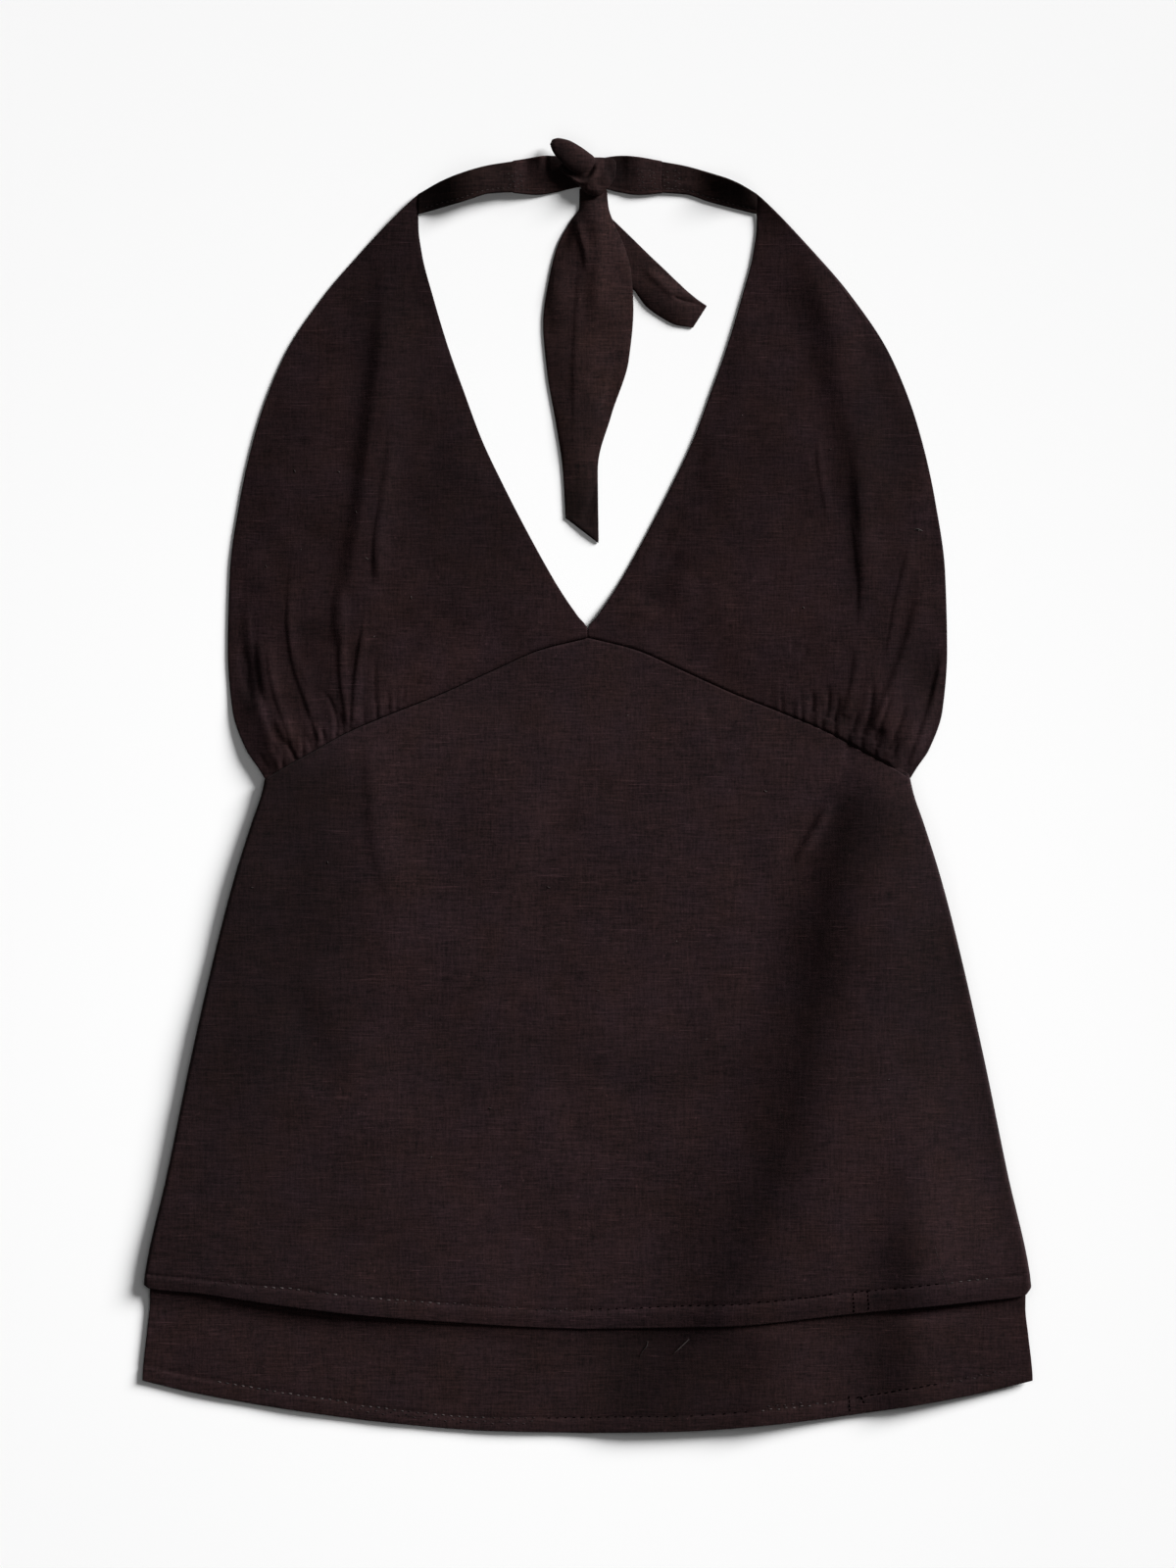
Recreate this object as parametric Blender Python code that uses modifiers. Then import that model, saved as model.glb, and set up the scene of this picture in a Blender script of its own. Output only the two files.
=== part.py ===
"""Halter neck top, laid flat on its back: two layered skirts, two gathered cups and a tied neck strap.

Sizes are in millimetres in the tables and become metres when a point is placed. X runs across the
garment, Y up towards the neck, Z up from the surface that it lies on. The origin is the middle of
the whole garment's outline, at the surface.
"""

import bisect
import math

import bmesh
import bpy

MM = 0.001
WALL = 1.0  # cloth wall
TIE_WALL = 1.4  # the ties are sewn double
GAP = 0.3  # clear space at seams and between layers
LAYER = WALL + GAP
OVERLAP = 2.05  # height of a tie's edge where it lies on the other tie
SEAM_GAP = 0.35  # each side of the underbust seam's line, measured on the cloth's lower face

BACK_TOP = 2.0  # height of the straight top edge of both back layers
SIDE_ROLL = 1.8  # width over which the front comes down to the back at a side seam
SIDE_LEAN = 0.7  # the wall leans outwards there by this much
UNDER_INSET = 3.4  # how far the under layer's side edges stay inside the outer layer's
LOFT = 0.5  # air under the outer front
NECK_RISE = 58.0  # length over which the front comes down from the back's top edge to the surface
HEM_DROP = 11.0  # length over which the under layer comes down past the outer back's hem
HEM_SAG = 0.42  # the outer front's hem settles on the under layer by this much
FOLLOW = 0.96  # share of the broad fold that the under layer takes up
CUP_CROWN = 3.0  # height of a cup's soft fullness
KNOT_TOP = 9.6

# Half width of the outer skirt at each height.
OUTER_SIDE = [
    dict(y=2.4, half=177.2),
    dict(y=-8.0, half=179.5),
    dict(y=-24.0, half=185.0),
    dict(y=-53.0, half=194.2),
    dict(y=-86.0, half=203.0),
    dict(y=-150.0, half=217.9),
    dict(y=-215.0, half=231.4),
    dict(y=-269.0, half=243.5),
    dict(y=-276.0, half=244.3),
]
# Half width of the under layer where it shows below the outer hem.
UNDER_SIDE = [
    dict(y=-272.0, half=241.0),
    dict(y=-283.0, half=241.0),
    dict(y=-300.0, half=242.6),
    dict(y=-324.0, half=245.0),
    dict(y=-330.0, half=245.2),
]
# The underbust seam, by distance from the centre line.
SEAM = [
    dict(x=0.0, y=81.5),
    dict(x=26.0, y=75.0),
    dict(x=50.0, y=64.5),
    dict(x=82.0, y=50.0),
    dict(x=106.0, y=40.5),
    dict(x=132.0, y=29.5),
    dict(x=150.0, y=19.5),
    dict(x=167.0, y=10.0),
    dict(x=179.0, y=2.4),
]
# The outer hem, from the left side seam to the right one.
OUTER_HEM = [
    dict(x=-244.2, y=-275.2),
    dict(x=-241.0, y=-277.0),
    dict(x=-215.0, y=-279.6),
    dict(x=-172.0, y=-285.8),
    dict(x=-130.0, y=-291.0),
    dict(x=-86.0, y=-294.7),
    dict(x=0.0, y=-299.1),
    dict(x=71.0, y=-297.3),
    dict(x=147.0, y=-289.8),
    dict(x=212.0, y=-283.8),
    dict(x=240.5, y=-280.7),
    dict(x=244.2, y=-276.0),
]
# The under layer's hem, by distance from the centre line.
UNDER_HEM = [
    dict(x=0.0, y=-356.1),
    dict(x=54.0, y=-355.0),
    dict(x=108.0, y=-350.7),
    dict(x=162.0, y=-343.7),
    dict(x=216.0, y=-334.3),
    dict(x=246.0, y=-327.2),
]
# The skirt's broad fold: the line where its flank is steepest, how far left of it the flank begins and
# right of it the crest is reached, its height, the length over which the cloth comes down again on the
# right, and the share of the height that it comes down by.
BROAD_FOLD = [
    dict(y=28.0, line=160.0, width=16.0, over=16.0, height=0.0, fall=24.0, drop=0.3),
    dict(y=10.0, line=153.0, width=20.0, over=18.0, height=3.0, fall=28.0, drop=0.3),
    dict(y=-10.0, line=145.0, width=24.0, over=22.0, height=7.2, fall=32.0, drop=0.3),
    dict(y=-32.0, line=138.5, width=27.0, over=26.0, height=10.4, fall=38.0, drop=0.32),
    dict(y=-58.0, line=132.5, width=31.0, over=27.0, height=12.0, fall=44.0, drop=0.38),
    dict(y=-96.0, line=127.0, width=37.0, over=27.0, height=12.8, fall=56.0, drop=0.5),
    dict(y=-134.0, line=120.5, width=47.0, over=26.0, height=12.8, fall=74.0, drop=0.62),
    dict(y=-177.0, line=113.0, width=56.0, over=27.0, height=12.8, fall=92.0, drop=0.68),
    dict(y=-215.0, line=101.0, width=59.0, over=30.0, height=12.4, fall=104.0, drop=0.7),
    dict(y=-253.0, line=87.0, width=56.0, over=37.0, height=12.2, fall=110.0, drop=0.72),
    dict(y=-275.0, line=75.0, width=52.0, over=38.0, height=11.6, fall=118.0, drop=0.74),
    dict(y=-300.0, line=60.5, width=44.0, over=32.0, height=9.6, fall=126.0, drop=0.78),
    dict(y=-330.0, line=38.0, width=38.0, over=24.0, height=5.8, fall=126.0, drop=0.85),
    dict(y=-358.0, line=13.0, width=34.0, over=20.0, height=2.8, fall=110.0, drop=0.9),
]
# The second, lower fold by the right hem: its crest, the half widths of its left and right flanks, and
# its height.
SECOND_FOLD = [
    dict(y=-150.0, crest=188.0, left=17.0, right=38.0, height=0.0),
    dict(y=-195.0, crest=188.0, left=17.0, right=38.0, height=2.2),
    dict(y=-250.0, crest=187.0, left=17.0, right=38.0, height=6.4),
    dict(y=-290.0, crest=184.0, left=17.0, right=38.0, height=3.6),
]
# The same folds in the strip of the under layer below the outer hem, beside the broad fold's own share.
STRIP_FOLDS = [
    dict(x=101.0, width=21.0, height=2.4),
    dict(x=184.0, width=17.0, height=3.4),
]
# Rings of the left cup, from the underbust seam (v 0) to the tip (v 1): armhole edge, then neckline.
CUP = [
    dict(v=0.00, xa=-177.2, ya=2.8, xn=-0.4, yn=81.9),
    dict(v=0.02, xa=-180.6, ya=8.4, xn=-0.6, yn=86.0),
    dict(v=0.06, xa=-187.6, ya=19.2, xn=-6.0, yn=93.7),
    dict(v=0.14, xa=-195.2, ya=41.9, xn=-16.2, yn=108.8),
    dict(v=0.24, xa=-197.7, ya=74.3, xn=-31.9, yn=136.4),
    dict(v=0.36, xa=-196.6, ya=116.9, xn=-46.4, yn=164.4),
    dict(v=0.48, xa=-191.2, ya=156.3, xn=-58.9, yn=190.9),
    dict(v=0.60, xa=-182.0, ya=196.3, xn=-68.5, yn=216.8),
    dict(v=0.72, xa=-166.4, ya=236.8, xn=-76.6, yn=239.5),
    dict(v=0.83, xa=-144.3, ya=270.3, xn=-85.7, yn=269.7),
    dict(v=0.91, xa=-125.4, ya=292.4, xn=-91.6, yn=292.4),
    dict(v=0.97, xa=-108.2, ya=310.8, xn=-93.6, yn=308.3),
    dict(v=1.00, xa=-93.8, ya=324.8, xn=-93.4, yn=315.4),
]
# The cups' main folds: three points that each runs through, its half width, its height, below zero for
# a trough, and the shares of its length over which it starts and ends.
LEFT_FOLDS = [
    dict(x0=-112, y0=305, x1=-117, y1=200, x2=-135, y2=72, width=11.0, height=2.6, start=0.3, end=0.3),
    dict(x0=-162, y0=130, x1=-164, y1=82, x2=-144, y2=20, width=4.5, height=0.9, start=0.4, end=0.1),
    dict(x0=-122, y0=91, x1=-128, y1=55, x2=-129, y2=34, width=4.5, height=0.9, start=0.3, end=0.1),
    dict(x0=-178, y0=85, x1=-176, y1=63, x2=-171, y2=42, width=5.0, height=1.5, start=0.35, end=0.3),
    dict(x0=-189, y0=82, x1=-187, y1=63, x2=-182, y2=42, width=4.4, height=-1.0, start=0.35, end=0.3),
]
RIGHT_FOLDS = [
    dict(x0=116, y0=313, x1=141, y1=219, x2=154, y2=135, width=12.5, height=2.8, start=0.3, end=0.35),
    dict(x0=147, y0=195, x1=152, y1=130, x2=152, y2=76, width=6.0, height=1.4, start=0.35, end=0.4),
    dict(x0=186, y0=117, x1=174, y1=71, x2=158, y2=29, width=4.5, height=1.2, start=0.35, end=0.1),
    dict(x0=198, y0=82, x1=190, y1=45, x2=177, y2=10, width=4.5, height=1.6, start=0.3, end=0.1),
    dict(x0=50, y0=133, x1=38, y1=108, x2=29, y2=96, width=6.0, height=-1.2, start=0.3, end=0.3),
]
# How far each cup's tip is turned up on its outer side.
LEFT_TIP, RIGHT_TIP = 1.5, 2.5
# The left half of the neck band: its lower and upper edge, from the cup's tip to under the knot.
STRAP = [
    dict(x=-92.9, low=314.8, high=325.8),
    dict(x=-80.7, low=317.8, high=332.2),
    dict(x=-67.2, low=321.4, high=337.2),
    dict(x=-53.7, low=325.6, high=341.2),
    dict(x=-41.2, low=326.5, high=343.5),
]
TIE_RUN = [
    dict(x=-40.7, low=326.1, high=343.9),
    dict(x=-28.0, low=325.2, high=345.9),
    dict(x=-18.0, low=326.6, high=346.8),
    dict(x=-8.0, low=329.0, high=345.6),
    dict(x=-0.3, low=330.4, high=343.6),
]
# How high the lower and the upper edge of the band lie, on each side: it rolls up in places.
TILT_LEFT = [
    dict(x=-93.0, z_low=0.2, z_high=1.4),
    dict(x=-88.0, z_low=0.8, z_high=2.8),
    dict(x=-80.0, z_low=3.0, z_high=5.8),
    dict(x=-72.0, z_low=5.2, z_high=8.4),
    dict(x=-66.0, z_low=5.8, z_high=8.8),
    dict(x=-60.0, z_low=5.4, z_high=7.4),
    dict(x=-52.0, z_low=4.2, z_high=5.0),
    dict(x=-44.0, z_low=3.0, z_high=3.2),
    dict(x=-34.0, z_low=1.6, z_high=2.0),
    dict(x=-29.0, z_low=0.8, z_high=3.4),
    dict(x=-25.5, z_low=0.4, z_high=4.4),
    dict(x=-22.6, z_low=0.1, z_high=3.2),
    dict(x=-19.6, z_low=0.0, z_high=0.7),
    dict(x=-15.0, z_low=0.0, z_high=0.1),
    dict(x=-0.3, z_low=0.0, z_high=0.0),
]
TILT_RIGHT = [
    dict(x=-93.0, z_low=0.0, z_high=2.4),
    dict(x=-89.0, z_low=0.0, z_high=5.0),
    dict(x=-84.0, z_low=0.0, z_high=6.6),
    dict(x=-78.0, z_low=0.0, z_high=6.6),
    dict(x=-72.0, z_low=0.0, z_high=4.4),
    dict(x=-66.0, z_low=0.0, z_high=2.6),
    dict(x=-60.0, z_low=0.0, z_high=1.3),
    dict(x=-53.0, z_low=0.1, z_high=0.8),
    dict(x=-42.0, z_low=0.3, z_high=0.8),
    dict(x=-34.0, z_low=0.6, z_high=1.8),
    dict(x=-28.0, z_low=0.6, z_high=3.0),
    dict(x=-23.0, z_low=0.4, z_high=2.4),
    dict(x=-19.0, z_low=0.1, z_high=0.8),
    dict(x=-14.0, z_low=0.0, z_high=0.1),
    dict(x=-0.3, z_low=0.0, z_high=0.0),
]
# Sections of the two free ends, from the knot: a point on each edge, and the lift of the middle.
LONG_TAIL = [
    dict(xa=-4.6, ya=328.4, xb=11.0, yb=327.6, lift=0.3),
    dict(xa=-4.8, ya=318.6, xb=11.8, yb=318.6, lift=2.2),
    dict(xa=-9.6, ya=310.8, xb=14.8, yb=309.5, lift=3.0),
    dict(xa=-16.6, ya=297.8, xb=19.2, yb=300.4, lift=2.8),
    dict(xa=-21.5, ya=278.9, xb=24.2, yb=283.0, lift=2.4),
    dict(xa=-24.7, ya=254.6, xb=25.5, yb=262.0, lift=2.2),
    dict(xa=-22.5, ya=227.6, xb=22.9, yb=234.0, lift=2.0),
    dict(xa=-17.9, ya=200.6, xb=13.2, yb=203.5, lift=1.8),
    dict(xa=-13.9, ya=173.6, xb=5.9, yb=173.6, lift=1.4),
    dict(xa=-12.3, ya=147.8, xb=6.3, yb=133.6, lift=0.2),
]
SHORT_TAIL = [
    dict(xa=4.6, ya=307.6, xb=12.8, yb=313.2, lift=0.0),
    dict(xa=14.0, ya=295.6, xb=26.6, yb=299.8, lift=0.1),
    dict(xa=19.0, ya=279.6, xb=35.2, yb=291.4, lift=0.2),
    dict(xa=25.4, ya=272.6, xb=42.6, yb=284.4, lift=1.2),
    dict(xa=32.2, ya=263.6, xb=49.9, yb=277.4, lift=2.0),
    dict(xa=39.6, ya=258.2, xb=56.4, yb=271.4, lift=1.8),
    dict(xa=48.8, ya=253.4, xb=62.0, yb=267.0, lift=1.2),
    dict(xa=57.6, ya=252.0, xb=65.6, yb=264.6, lift=0.3),
]
# The knot's outline as seen from above, by angle about its middle.
KNOT_AT = (0.3, 340.0)
KNOT_OUTLINE = [
    dict(angle=0, reach=14.6),
    dict(angle=25, reach=13.2),
    dict(angle=45, reach=9.2),
    dict(angle=88, reach=8.6),
    dict(angle=111, reach=13.2),
    dict(angle=125, reach=19.4),
    dict(angle=137, reach=25.2),
    dict(angle=146, reach=26.6),
    dict(angle=156, reach=21.8),
    dict(angle=179, reach=16.0),
    dict(angle=210, reach=10.8),
    dict(angle=239, reach=9.8),
    dict(angle=270, reach=13.8),
    dict(angle=292, reach=15.8),
    dict(angle=316, reach=14.8),
    dict(angle=338, reach=14.6),
]
# Rings of the knot, from its foot to its crown, as a share of its outline.
KNOT_RINGS = [
    dict(share=0.80, z=2.3),
    dict(share=0.97, z=3.6),
    dict(share=1.00, z=5.4),
    dict(share=0.90, z=7.4),
    dict(share=0.62, z=8.8),
    dict(share=0.25, z=KNOT_TOP),
]


def read(rows, key, column, at):
    """The column's value at a key, on a smooth curve through the rows' own values."""
    keys = [row[key] for row in rows]
    values = [row[column] for row in rows]
    if keys[0] > keys[-1]:
        keys, values = keys[::-1], values[::-1]
    at = min(max(at, keys[0]), keys[-1])
    i = min(max(bisect.bisect_right(keys, at) - 1, 0), len(keys) - 2)
    span = keys[i + 1] - keys[i]
    t = (at - keys[i]) / span

    def slope(k):
        if k == 0 or k == len(keys) - 1:
            j = 1 if k == 0 else k
            return (values[j] - values[j - 1]) / (keys[j] - keys[j - 1])
        before = (values[k] - values[k - 1]) / (keys[k] - keys[k - 1])
        after = (values[k + 1] - values[k]) / (keys[k + 1] - keys[k])
        if before * after <= 0:
            return 0.0
        return 2 * before * after / (before + after)

    h00 = 2 * t**3 - 3 * t**2 + 1
    h10 = t**3 - 2 * t**2 + t
    h01 = -2 * t**3 + 3 * t**2
    h11 = t**3 - t**2
    return (
        h00 * values[i]
        + h10 * span * slope(i)
        + h01 * values[i + 1]
        + h11 * span * slope(i + 1)
    )


def ease(t):
    """0 below 0, 1 above 1, with a soft start and end."""
    t = min(max(t, 0.0), 1.0)
    return t * t * (3 - 2 * t)


def mix(a, b, t):
    return a + (b - a) * t


def fold_height(folds, x, y):
    """The height of the folds at a point: a soft ridge or trough beside each fold's own curve."""
    total = 0.0
    for f in folds:
        nearest, along = 1e9, 0.0
        for k in range(21):
            t = k / 20
            # The curve passes through the middle point at t = 0.5.
            a, b, c = (1 - t) * (1 - 2 * t), 4 * t * (1 - t), t * (2 * t - 1)
            away = math.hypot(
                a * f["x0"] + b * f["x1"] + c * f["x2"] - x,
                a * f["y0"] + b * f["y1"] + c * f["y2"] - y,
            )
            if away < nearest:
                nearest, along = away, t
        ends = ease(along / f["start"]) * ease((1 - along) / f["end"])
        total += f["height"] * ends * math.exp(-((nearest / f["width"]) ** 2))
    return total


def seam_y(x):
    return read(SEAM, "x", "y", abs(x))


def outer_hem_y(x):
    return read(OUTER_HEM, "x", "y", x)


def under_hem_y(x):
    return read(UNDER_HEM, "x", "y", abs(x))


def front_rest(y):
    """Height of the under front's lower face: on two back layers, and down to the surface above them."""
    return 2 * LAYER * (1 - ease((y - BACK_TOP) / NECK_RISE))


def broad_fold(x, y):
    """The broad fold: a long rise on the left, a rounded crest and a long fall to the right."""
    line, width, over, height, fall, drop = (
        read(BROAD_FOLD, "y", column, y)
        for column in ("line", "width", "over", "height", "fall", "drop")
    )
    d = x - line
    low = width / (width + over)
    if d < 0:
        return height * low * max(1 + d / width, 0.0) ** 2
    if d < over:
        return height * (low + (1 - low) * (1 - (1 - d / over) ** 2))
    return height * (1 - drop * ease((d - over) / fall) ** 1.15)


def second_fold(x, y):
    crest, height = read(SECOND_FOLD, "y", "crest", y), read(SECOND_FOLD, "y", "height", y)
    width = read(SECOND_FOLD, "y", "left" if x < crest else "right", y)
    return height * math.exp(-(((x - crest) / width) ** 2))


def collection(name):
    made = bpy.data.collections.new(name)
    bpy.context.scene.collection.children.link(made)
    return made


def material(name, colour, roughness):
    made = bpy.data.materials.new(name)
    made.use_nodes = True
    shader = made.node_tree.nodes["Principled BSDF"]
    shader.inputs["Base Color"].default_value = (*colour, 1.0)
    shader.inputs["Roughness"].default_value = roughness
    shader.inputs["Metallic"].default_value = 0.0
    return made


def grid_mesh(columns, rows, point):
    """An open grid of columns by rows, each corner put where point(u, v) says, in millimetres."""
    bm = bmesh.new()
    bmesh.ops.create_grid(bm, x_segments=len(columns) - 1, y_segments=len(rows) - 1, size=0.5)
    across, along = len(columns) - 1, len(rows) - 1
    for vert in bm.verts:
        i = round((vert.co.x + 0.5) * across)
        j = round((vert.co.y + 0.5) * along)
        x, y, z = point(columns[i], rows[j])
        vert.co = (x * MM, y * MM, z * MM)
    bmesh.ops.recalc_face_normals(bm, faces=bm.faces)
    if sum(face.normal.z * face.calc_area() for face in bm.faces) < 0:
        bmesh.ops.reverse_faces(bm, faces=bm.faces)
    return bm


def place(bm, name, finish, home):
    """Puts the mesh's own middle at the object's origin, so the object carries its place."""
    low = [min(v.co[k] for v in bm.verts) for k in range(3)]
    high = [max(v.co[k] for v in bm.verts) for k in range(3)]
    middle = [(low[0] + high[0]) / 2, (low[1] + high[1]) / 2, low[2]]
    bmesh.ops.translate(bm, verts=bm.verts, vec=[-c for c in middle])
    mesh = bpy.data.meshes.new(name)
    bm.to_mesh(mesh)
    bm.free()
    mesh.materials.append(finish)
    made = bpy.data.objects.new(name, mesh)
    made.location = middle
    home.objects.link(made)
    made.parent = garment
    return made


def cloth(name, columns, rows, point, wall, finish, home):
    """A cloth wall: the open grid is its lower face, and Solidify adds the wall above it."""
    made = place(grid_mesh(columns, rows, point), name, finish, home)
    thick = made.modifiers.new("wall", "SOLIDIFY")
    thick.thickness = wall * MM
    thick.offset = 1.0
    thick.use_even_offset = False
    thick.use_rim = True
    return made


def evenly(count, low=0.0, high=1.0):
    return [mix(low, high, i / count) for i in range(count + 1)]


for old in list(bpy.data.objects):
    bpy.data.objects.remove(old, do_unlink=True)

home = collection("halter_neck_top")
garment = bpy.data.objects.new("garment", None)
home.objects.link(garment)

OUTER_CLOTH = material("outer_cloth", (0.0200, 0.0122, 0.0129), 0.93)
UNDER_CLOTH = material("under_cloth", (0.0182, 0.0108, 0.0108), 0.93)
CUP_CLOTH = material("cup_cloth", (0.0160, 0.0092, 0.0096), 0.93)
STRAP_CLOTH = material("strap_cloth", (0.0150, 0.0088, 0.0084), 0.90)
TIE_CLOTH = material("tie_cloth", (0.0205, 0.0122, 0.0120), 0.92)


def skirt_x(f, half):
    """Across a skirt layer, f runs from -1 to 1, and its last steps are the side seams' roll."""
    if abs(f) >= 1:
        return math.copysign(half - SIDE_LEAN, f)
    return f * (half - SIDE_ROLL)


def front_point(f, v):
    half_top = OUTER_SIDE[0]["half"]
    half_low = OUTER_SIDE[-1]["half"]
    top = seam_y(skirt_x(f, half_top)) - SEAM_GAP - 0.4 * ease((abs(f) - 0.9) / 0.09)
    low = outer_hem_y(skirt_x(f, half_low))
    side = mix(OUTER_SIDE[0]["y"], OUTER_SIDE[-1]["y"], v)
    x = skirt_x(f, read(OUTER_SIDE, "y", "half", side))
    y = mix(top, low, v)
    if abs(f) >= 1:
        return x, y, LAYER
    # The hem stands clear of the under layer on the left and lies on it elsewhere.
    clear = math.exp(-(((x + 146) / 56) ** 2))
    hem = 1.9 * ease(1 - (y - low) / 45) * clear - HEM_SAG * ease(1 - (y - low) / 7) * (1 - clear) ** 2
    z = front_rest(y) + LAYER + LOFT + broad_fold(x, y) + second_fold(x, y) + hem
    return x, y, z


def back_point(f, v):
    low = outer_hem_y(f * OUTER_SIDE[-1]["half"]) + 2.4
    side = mix(BACK_TOP, OUTER_SIDE[-1]["y"], v)
    half = read(OUTER_SIDE, "y", "half", side) - 0.2
    return f * half, mix(BACK_TOP, low, v), 0.0


def under_half(y):
    if y > UNDER_SIDE[0]["y"]:
        return read(OUTER_SIDE, "y", "half", y) - UNDER_INSET
    return read(UNDER_SIDE, "y", "half", y)


def under_y(f, v, top):
    """Rows of the under layer: v 0 to 1 above the outer hem, 1 to 2 down the drop, 2 to 3 below.

    The first half of the upper rows ends on a level line just under the back's top edge.
    """
    start = outer_hem_y(f * UNDER_SIDE[0]["half"]) + 2.0
    end = start - 2.0 - HEM_DROP
    level = BACK_TOP - 10.0
    if v <= 0.5:
        return mix(top(f * (OUTER_SIDE[0]["half"] - UNDER_INSET)), level, 2 * v)
    if v <= 1:
        return mix(level, start, 2 * v - 1)
    if v <= 2:
        return mix(start, end, v - 1)
    return mix(end, under_hem_y(f * UNDER_SIDE[-1]["half"]), v - 2)


def under_back_point(f, v):
    y = under_y(f, v, lambda x: BACK_TOP)
    side = under_y(-1.0, v, lambda x: BACK_TOP)
    z = LAYER if v <= 1 else LAYER * (1 - ease(v - 1))
    return f * (under_half(side) - 0.5), y + (0.8 if v >= 3 else 0.0), z


def under_front_point(f, v):
    def top(x):
        return seam_y(x) - 3.0

    y = under_y(f, v, top)
    side = under_y(-1.0, v, top)
    x = f * under_half(side)
    z = front_rest(y) if v <= 1 else LAYER * (2 - ease(v - 1))
    follows = ease((-120 - y) / 160) ** 2 if v <= 1 else 1.0
    z += FOLLOW * follows * broad_fold(x, y)
    for fold in STRIP_FOLDS:
        z += ease(v - 1) * fold["height"] * math.exp(-(((x - fold["x"]) / fold["width"]) ** 2))
    return x, y, z


right_half = evenly(18, 0.1, 0.96)
front_columns = [-1.0, *evenly(9, -0.999, 0.0), *right_half, 0.999, 1.0]
front_rows = [*evenly(4, 0.0, 0.2), *evenly(9, 0.27, 0.9), 0.94, 0.98, 1.0]
cloth("front_panel", front_columns, front_rows, front_point, WALL, OUTER_CLOTH, home)
cloth("back_panel", evenly(8, -1.0, 1.0), evenly(5), back_point, WALL, OUTER_CLOTH, home)
cloth(
    "under_front",
    [*evenly(6, -1.0, 0.0), *evenly(15, 0.065, 1.0)],
    [*evenly(3, 0.0, 0.5), *evenly(6, 0.6, 1.0), 1.5, 2.0, 2.33, 2.67, 3.0],
    under_front_point,
    WALL,
    UNDER_CLOTH,
    home,
)
cloth(
    "under_back",
    evenly(14, -1.0, 1.0),
    [*evenly(3, 0.5, 1.0), 1.5, 2.0, 2.5, 3.0],
    under_back_point,
    WALL,
    UNDER_CLOTH,
    home,
)


def cup_point(side, folds, tip):
    """The left cup's points, or with side 1 their mirror image; each cup has its own folds."""

    def point(u, v):
        xa, ya = read(CUP, "v", "xa", v), read(CUP, "v", "ya", v)
        xn, yn = read(CUP, "v", "xn", v), read(CUP, "v", "yn", v)
        x, y = mix(xa, xn, u), mix(ya, yn, u)
        # The first ring follows the curved seam, and its bow fades along the cup.
        bow = seam_y(mix(CUP[0]["xa"], CUP[0]["xn"], u)) - mix(CUP[0]["ya"], CUP[0]["yn"], u)
        y += bow * (1 - ease(v / 0.3)) + SEAM_GAP * (1 - ease(v / 0.1))
        start = front_rest(seam_y(x)) + LAYER + LOFT + broad_fold(-side * x, seam_y(x))
        if u <= 0 or v <= 0 and u < 0.02:
            start = LAYER
        base = start * (1 - ease(v / 0.2))
        full = ease(v / 0.2) * (1 - ease((v - 0.3) / 0.65)) * math.sin(math.pi * u) ** 0.8
        inside = ease(min(u, 1 - u) / 0.04)
        z = base + CUP_CROWN * full
        z += tip * ease((v - 0.9) / 0.1) ** 1.3 * (1 - u) ** 1.2
        z += fold_height(folds, -side * x, y) * inside * (0.45 + 0.55 * ease(v / 0.05))
        return -side * x, y, max(z, 0.0)

    return point


cup_columns = [*evenly(17, 0.0, 0.55), *evenly(5, 0.64, 1.0)]
cup_rows = [*evenly(8, 0.0, 0.24), *evenly(10, 0.31, 1.0)]
for name, side, folds, tip in (
    ("cup_left", -1, LEFT_FOLDS, LEFT_TIP),
    ("cup_right", 1, RIGHT_FOLDS, RIGHT_TIP),
):
    cloth(name, cup_columns, cup_rows, cup_point(side, folds, tip), WALL, CUP_CLOTH, home)


def band_point(rows, side):
    """Along a neck band, u from its outer end to its inner one and v from its lower edge up."""

    def point(u, v):
        x = mix(rows[0]["x"], rows[-1]["x"], u)
        y = mix(read(rows, "x", "low", x), read(rows, "x", "high", x), v)
        tilt = TILT_RIGHT if side == 1 else TILT_LEFT
        z = mix(read(tilt, "x", "z_low", x), read(tilt, "x", "z_high", x), v**1.35)
        return -side * x, y, z

    return point


for name, rows, side, steps in (
    ("strap_left", STRAP, -1, 14),
    ("strap_right", STRAP, 1, 14),
    ("tie_run_left", TIE_RUN, -1, 14),
    ("tie_run_right", TIE_RUN, 1, 14),
):
    finish = STRAP_CLOTH if rows is STRAP else TIE_CLOTH
    cloth(name, evenly(steps), evenly(4), band_point(rows, side), TIE_WALL, finish, home)


def over_short(x, y):
    """The long end's right edge lies on the short one, near the knot."""
    return OVERLAP * ease((x + 3) / 6) * ease((y - 256) / 10) * ease((325 - y) / 8)


def flat(x, y):
    return 0.0


def tail_point(rows, base):
    """Along a free end, v from the knot to the cut end and u from one edge to the other."""
    numbered = [dict(row, at=float(i)) for i, row in enumerate(rows)]

    def point(u, v):
        at = v * (len(rows) - 1)
        xa, ya = read(numbered, "at", "xa", at), read(numbered, "at", "ya", at)
        xb, yb = read(numbered, "at", "xb", at), read(numbered, "at", "yb", at)
        lift = read(numbered, "at", "lift", at)
        x, y = mix(xa, xb, u), mix(ya, yb, u)
        return x, y, base(x, y) + lift * math.sin(math.pi * u) ** 0.8

    return point


for name, rows, base, across, along in (
    ("tie_tail_long", LONG_TAIL, over_short, 6, 26),
    ("tie_tail_short", SHORT_TAIL, flat, 4, 14),
):
    cloth(name, evenly(across), evenly(along), tail_point(rows, base), TIE_WALL, TIE_CLOTH, home)


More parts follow.
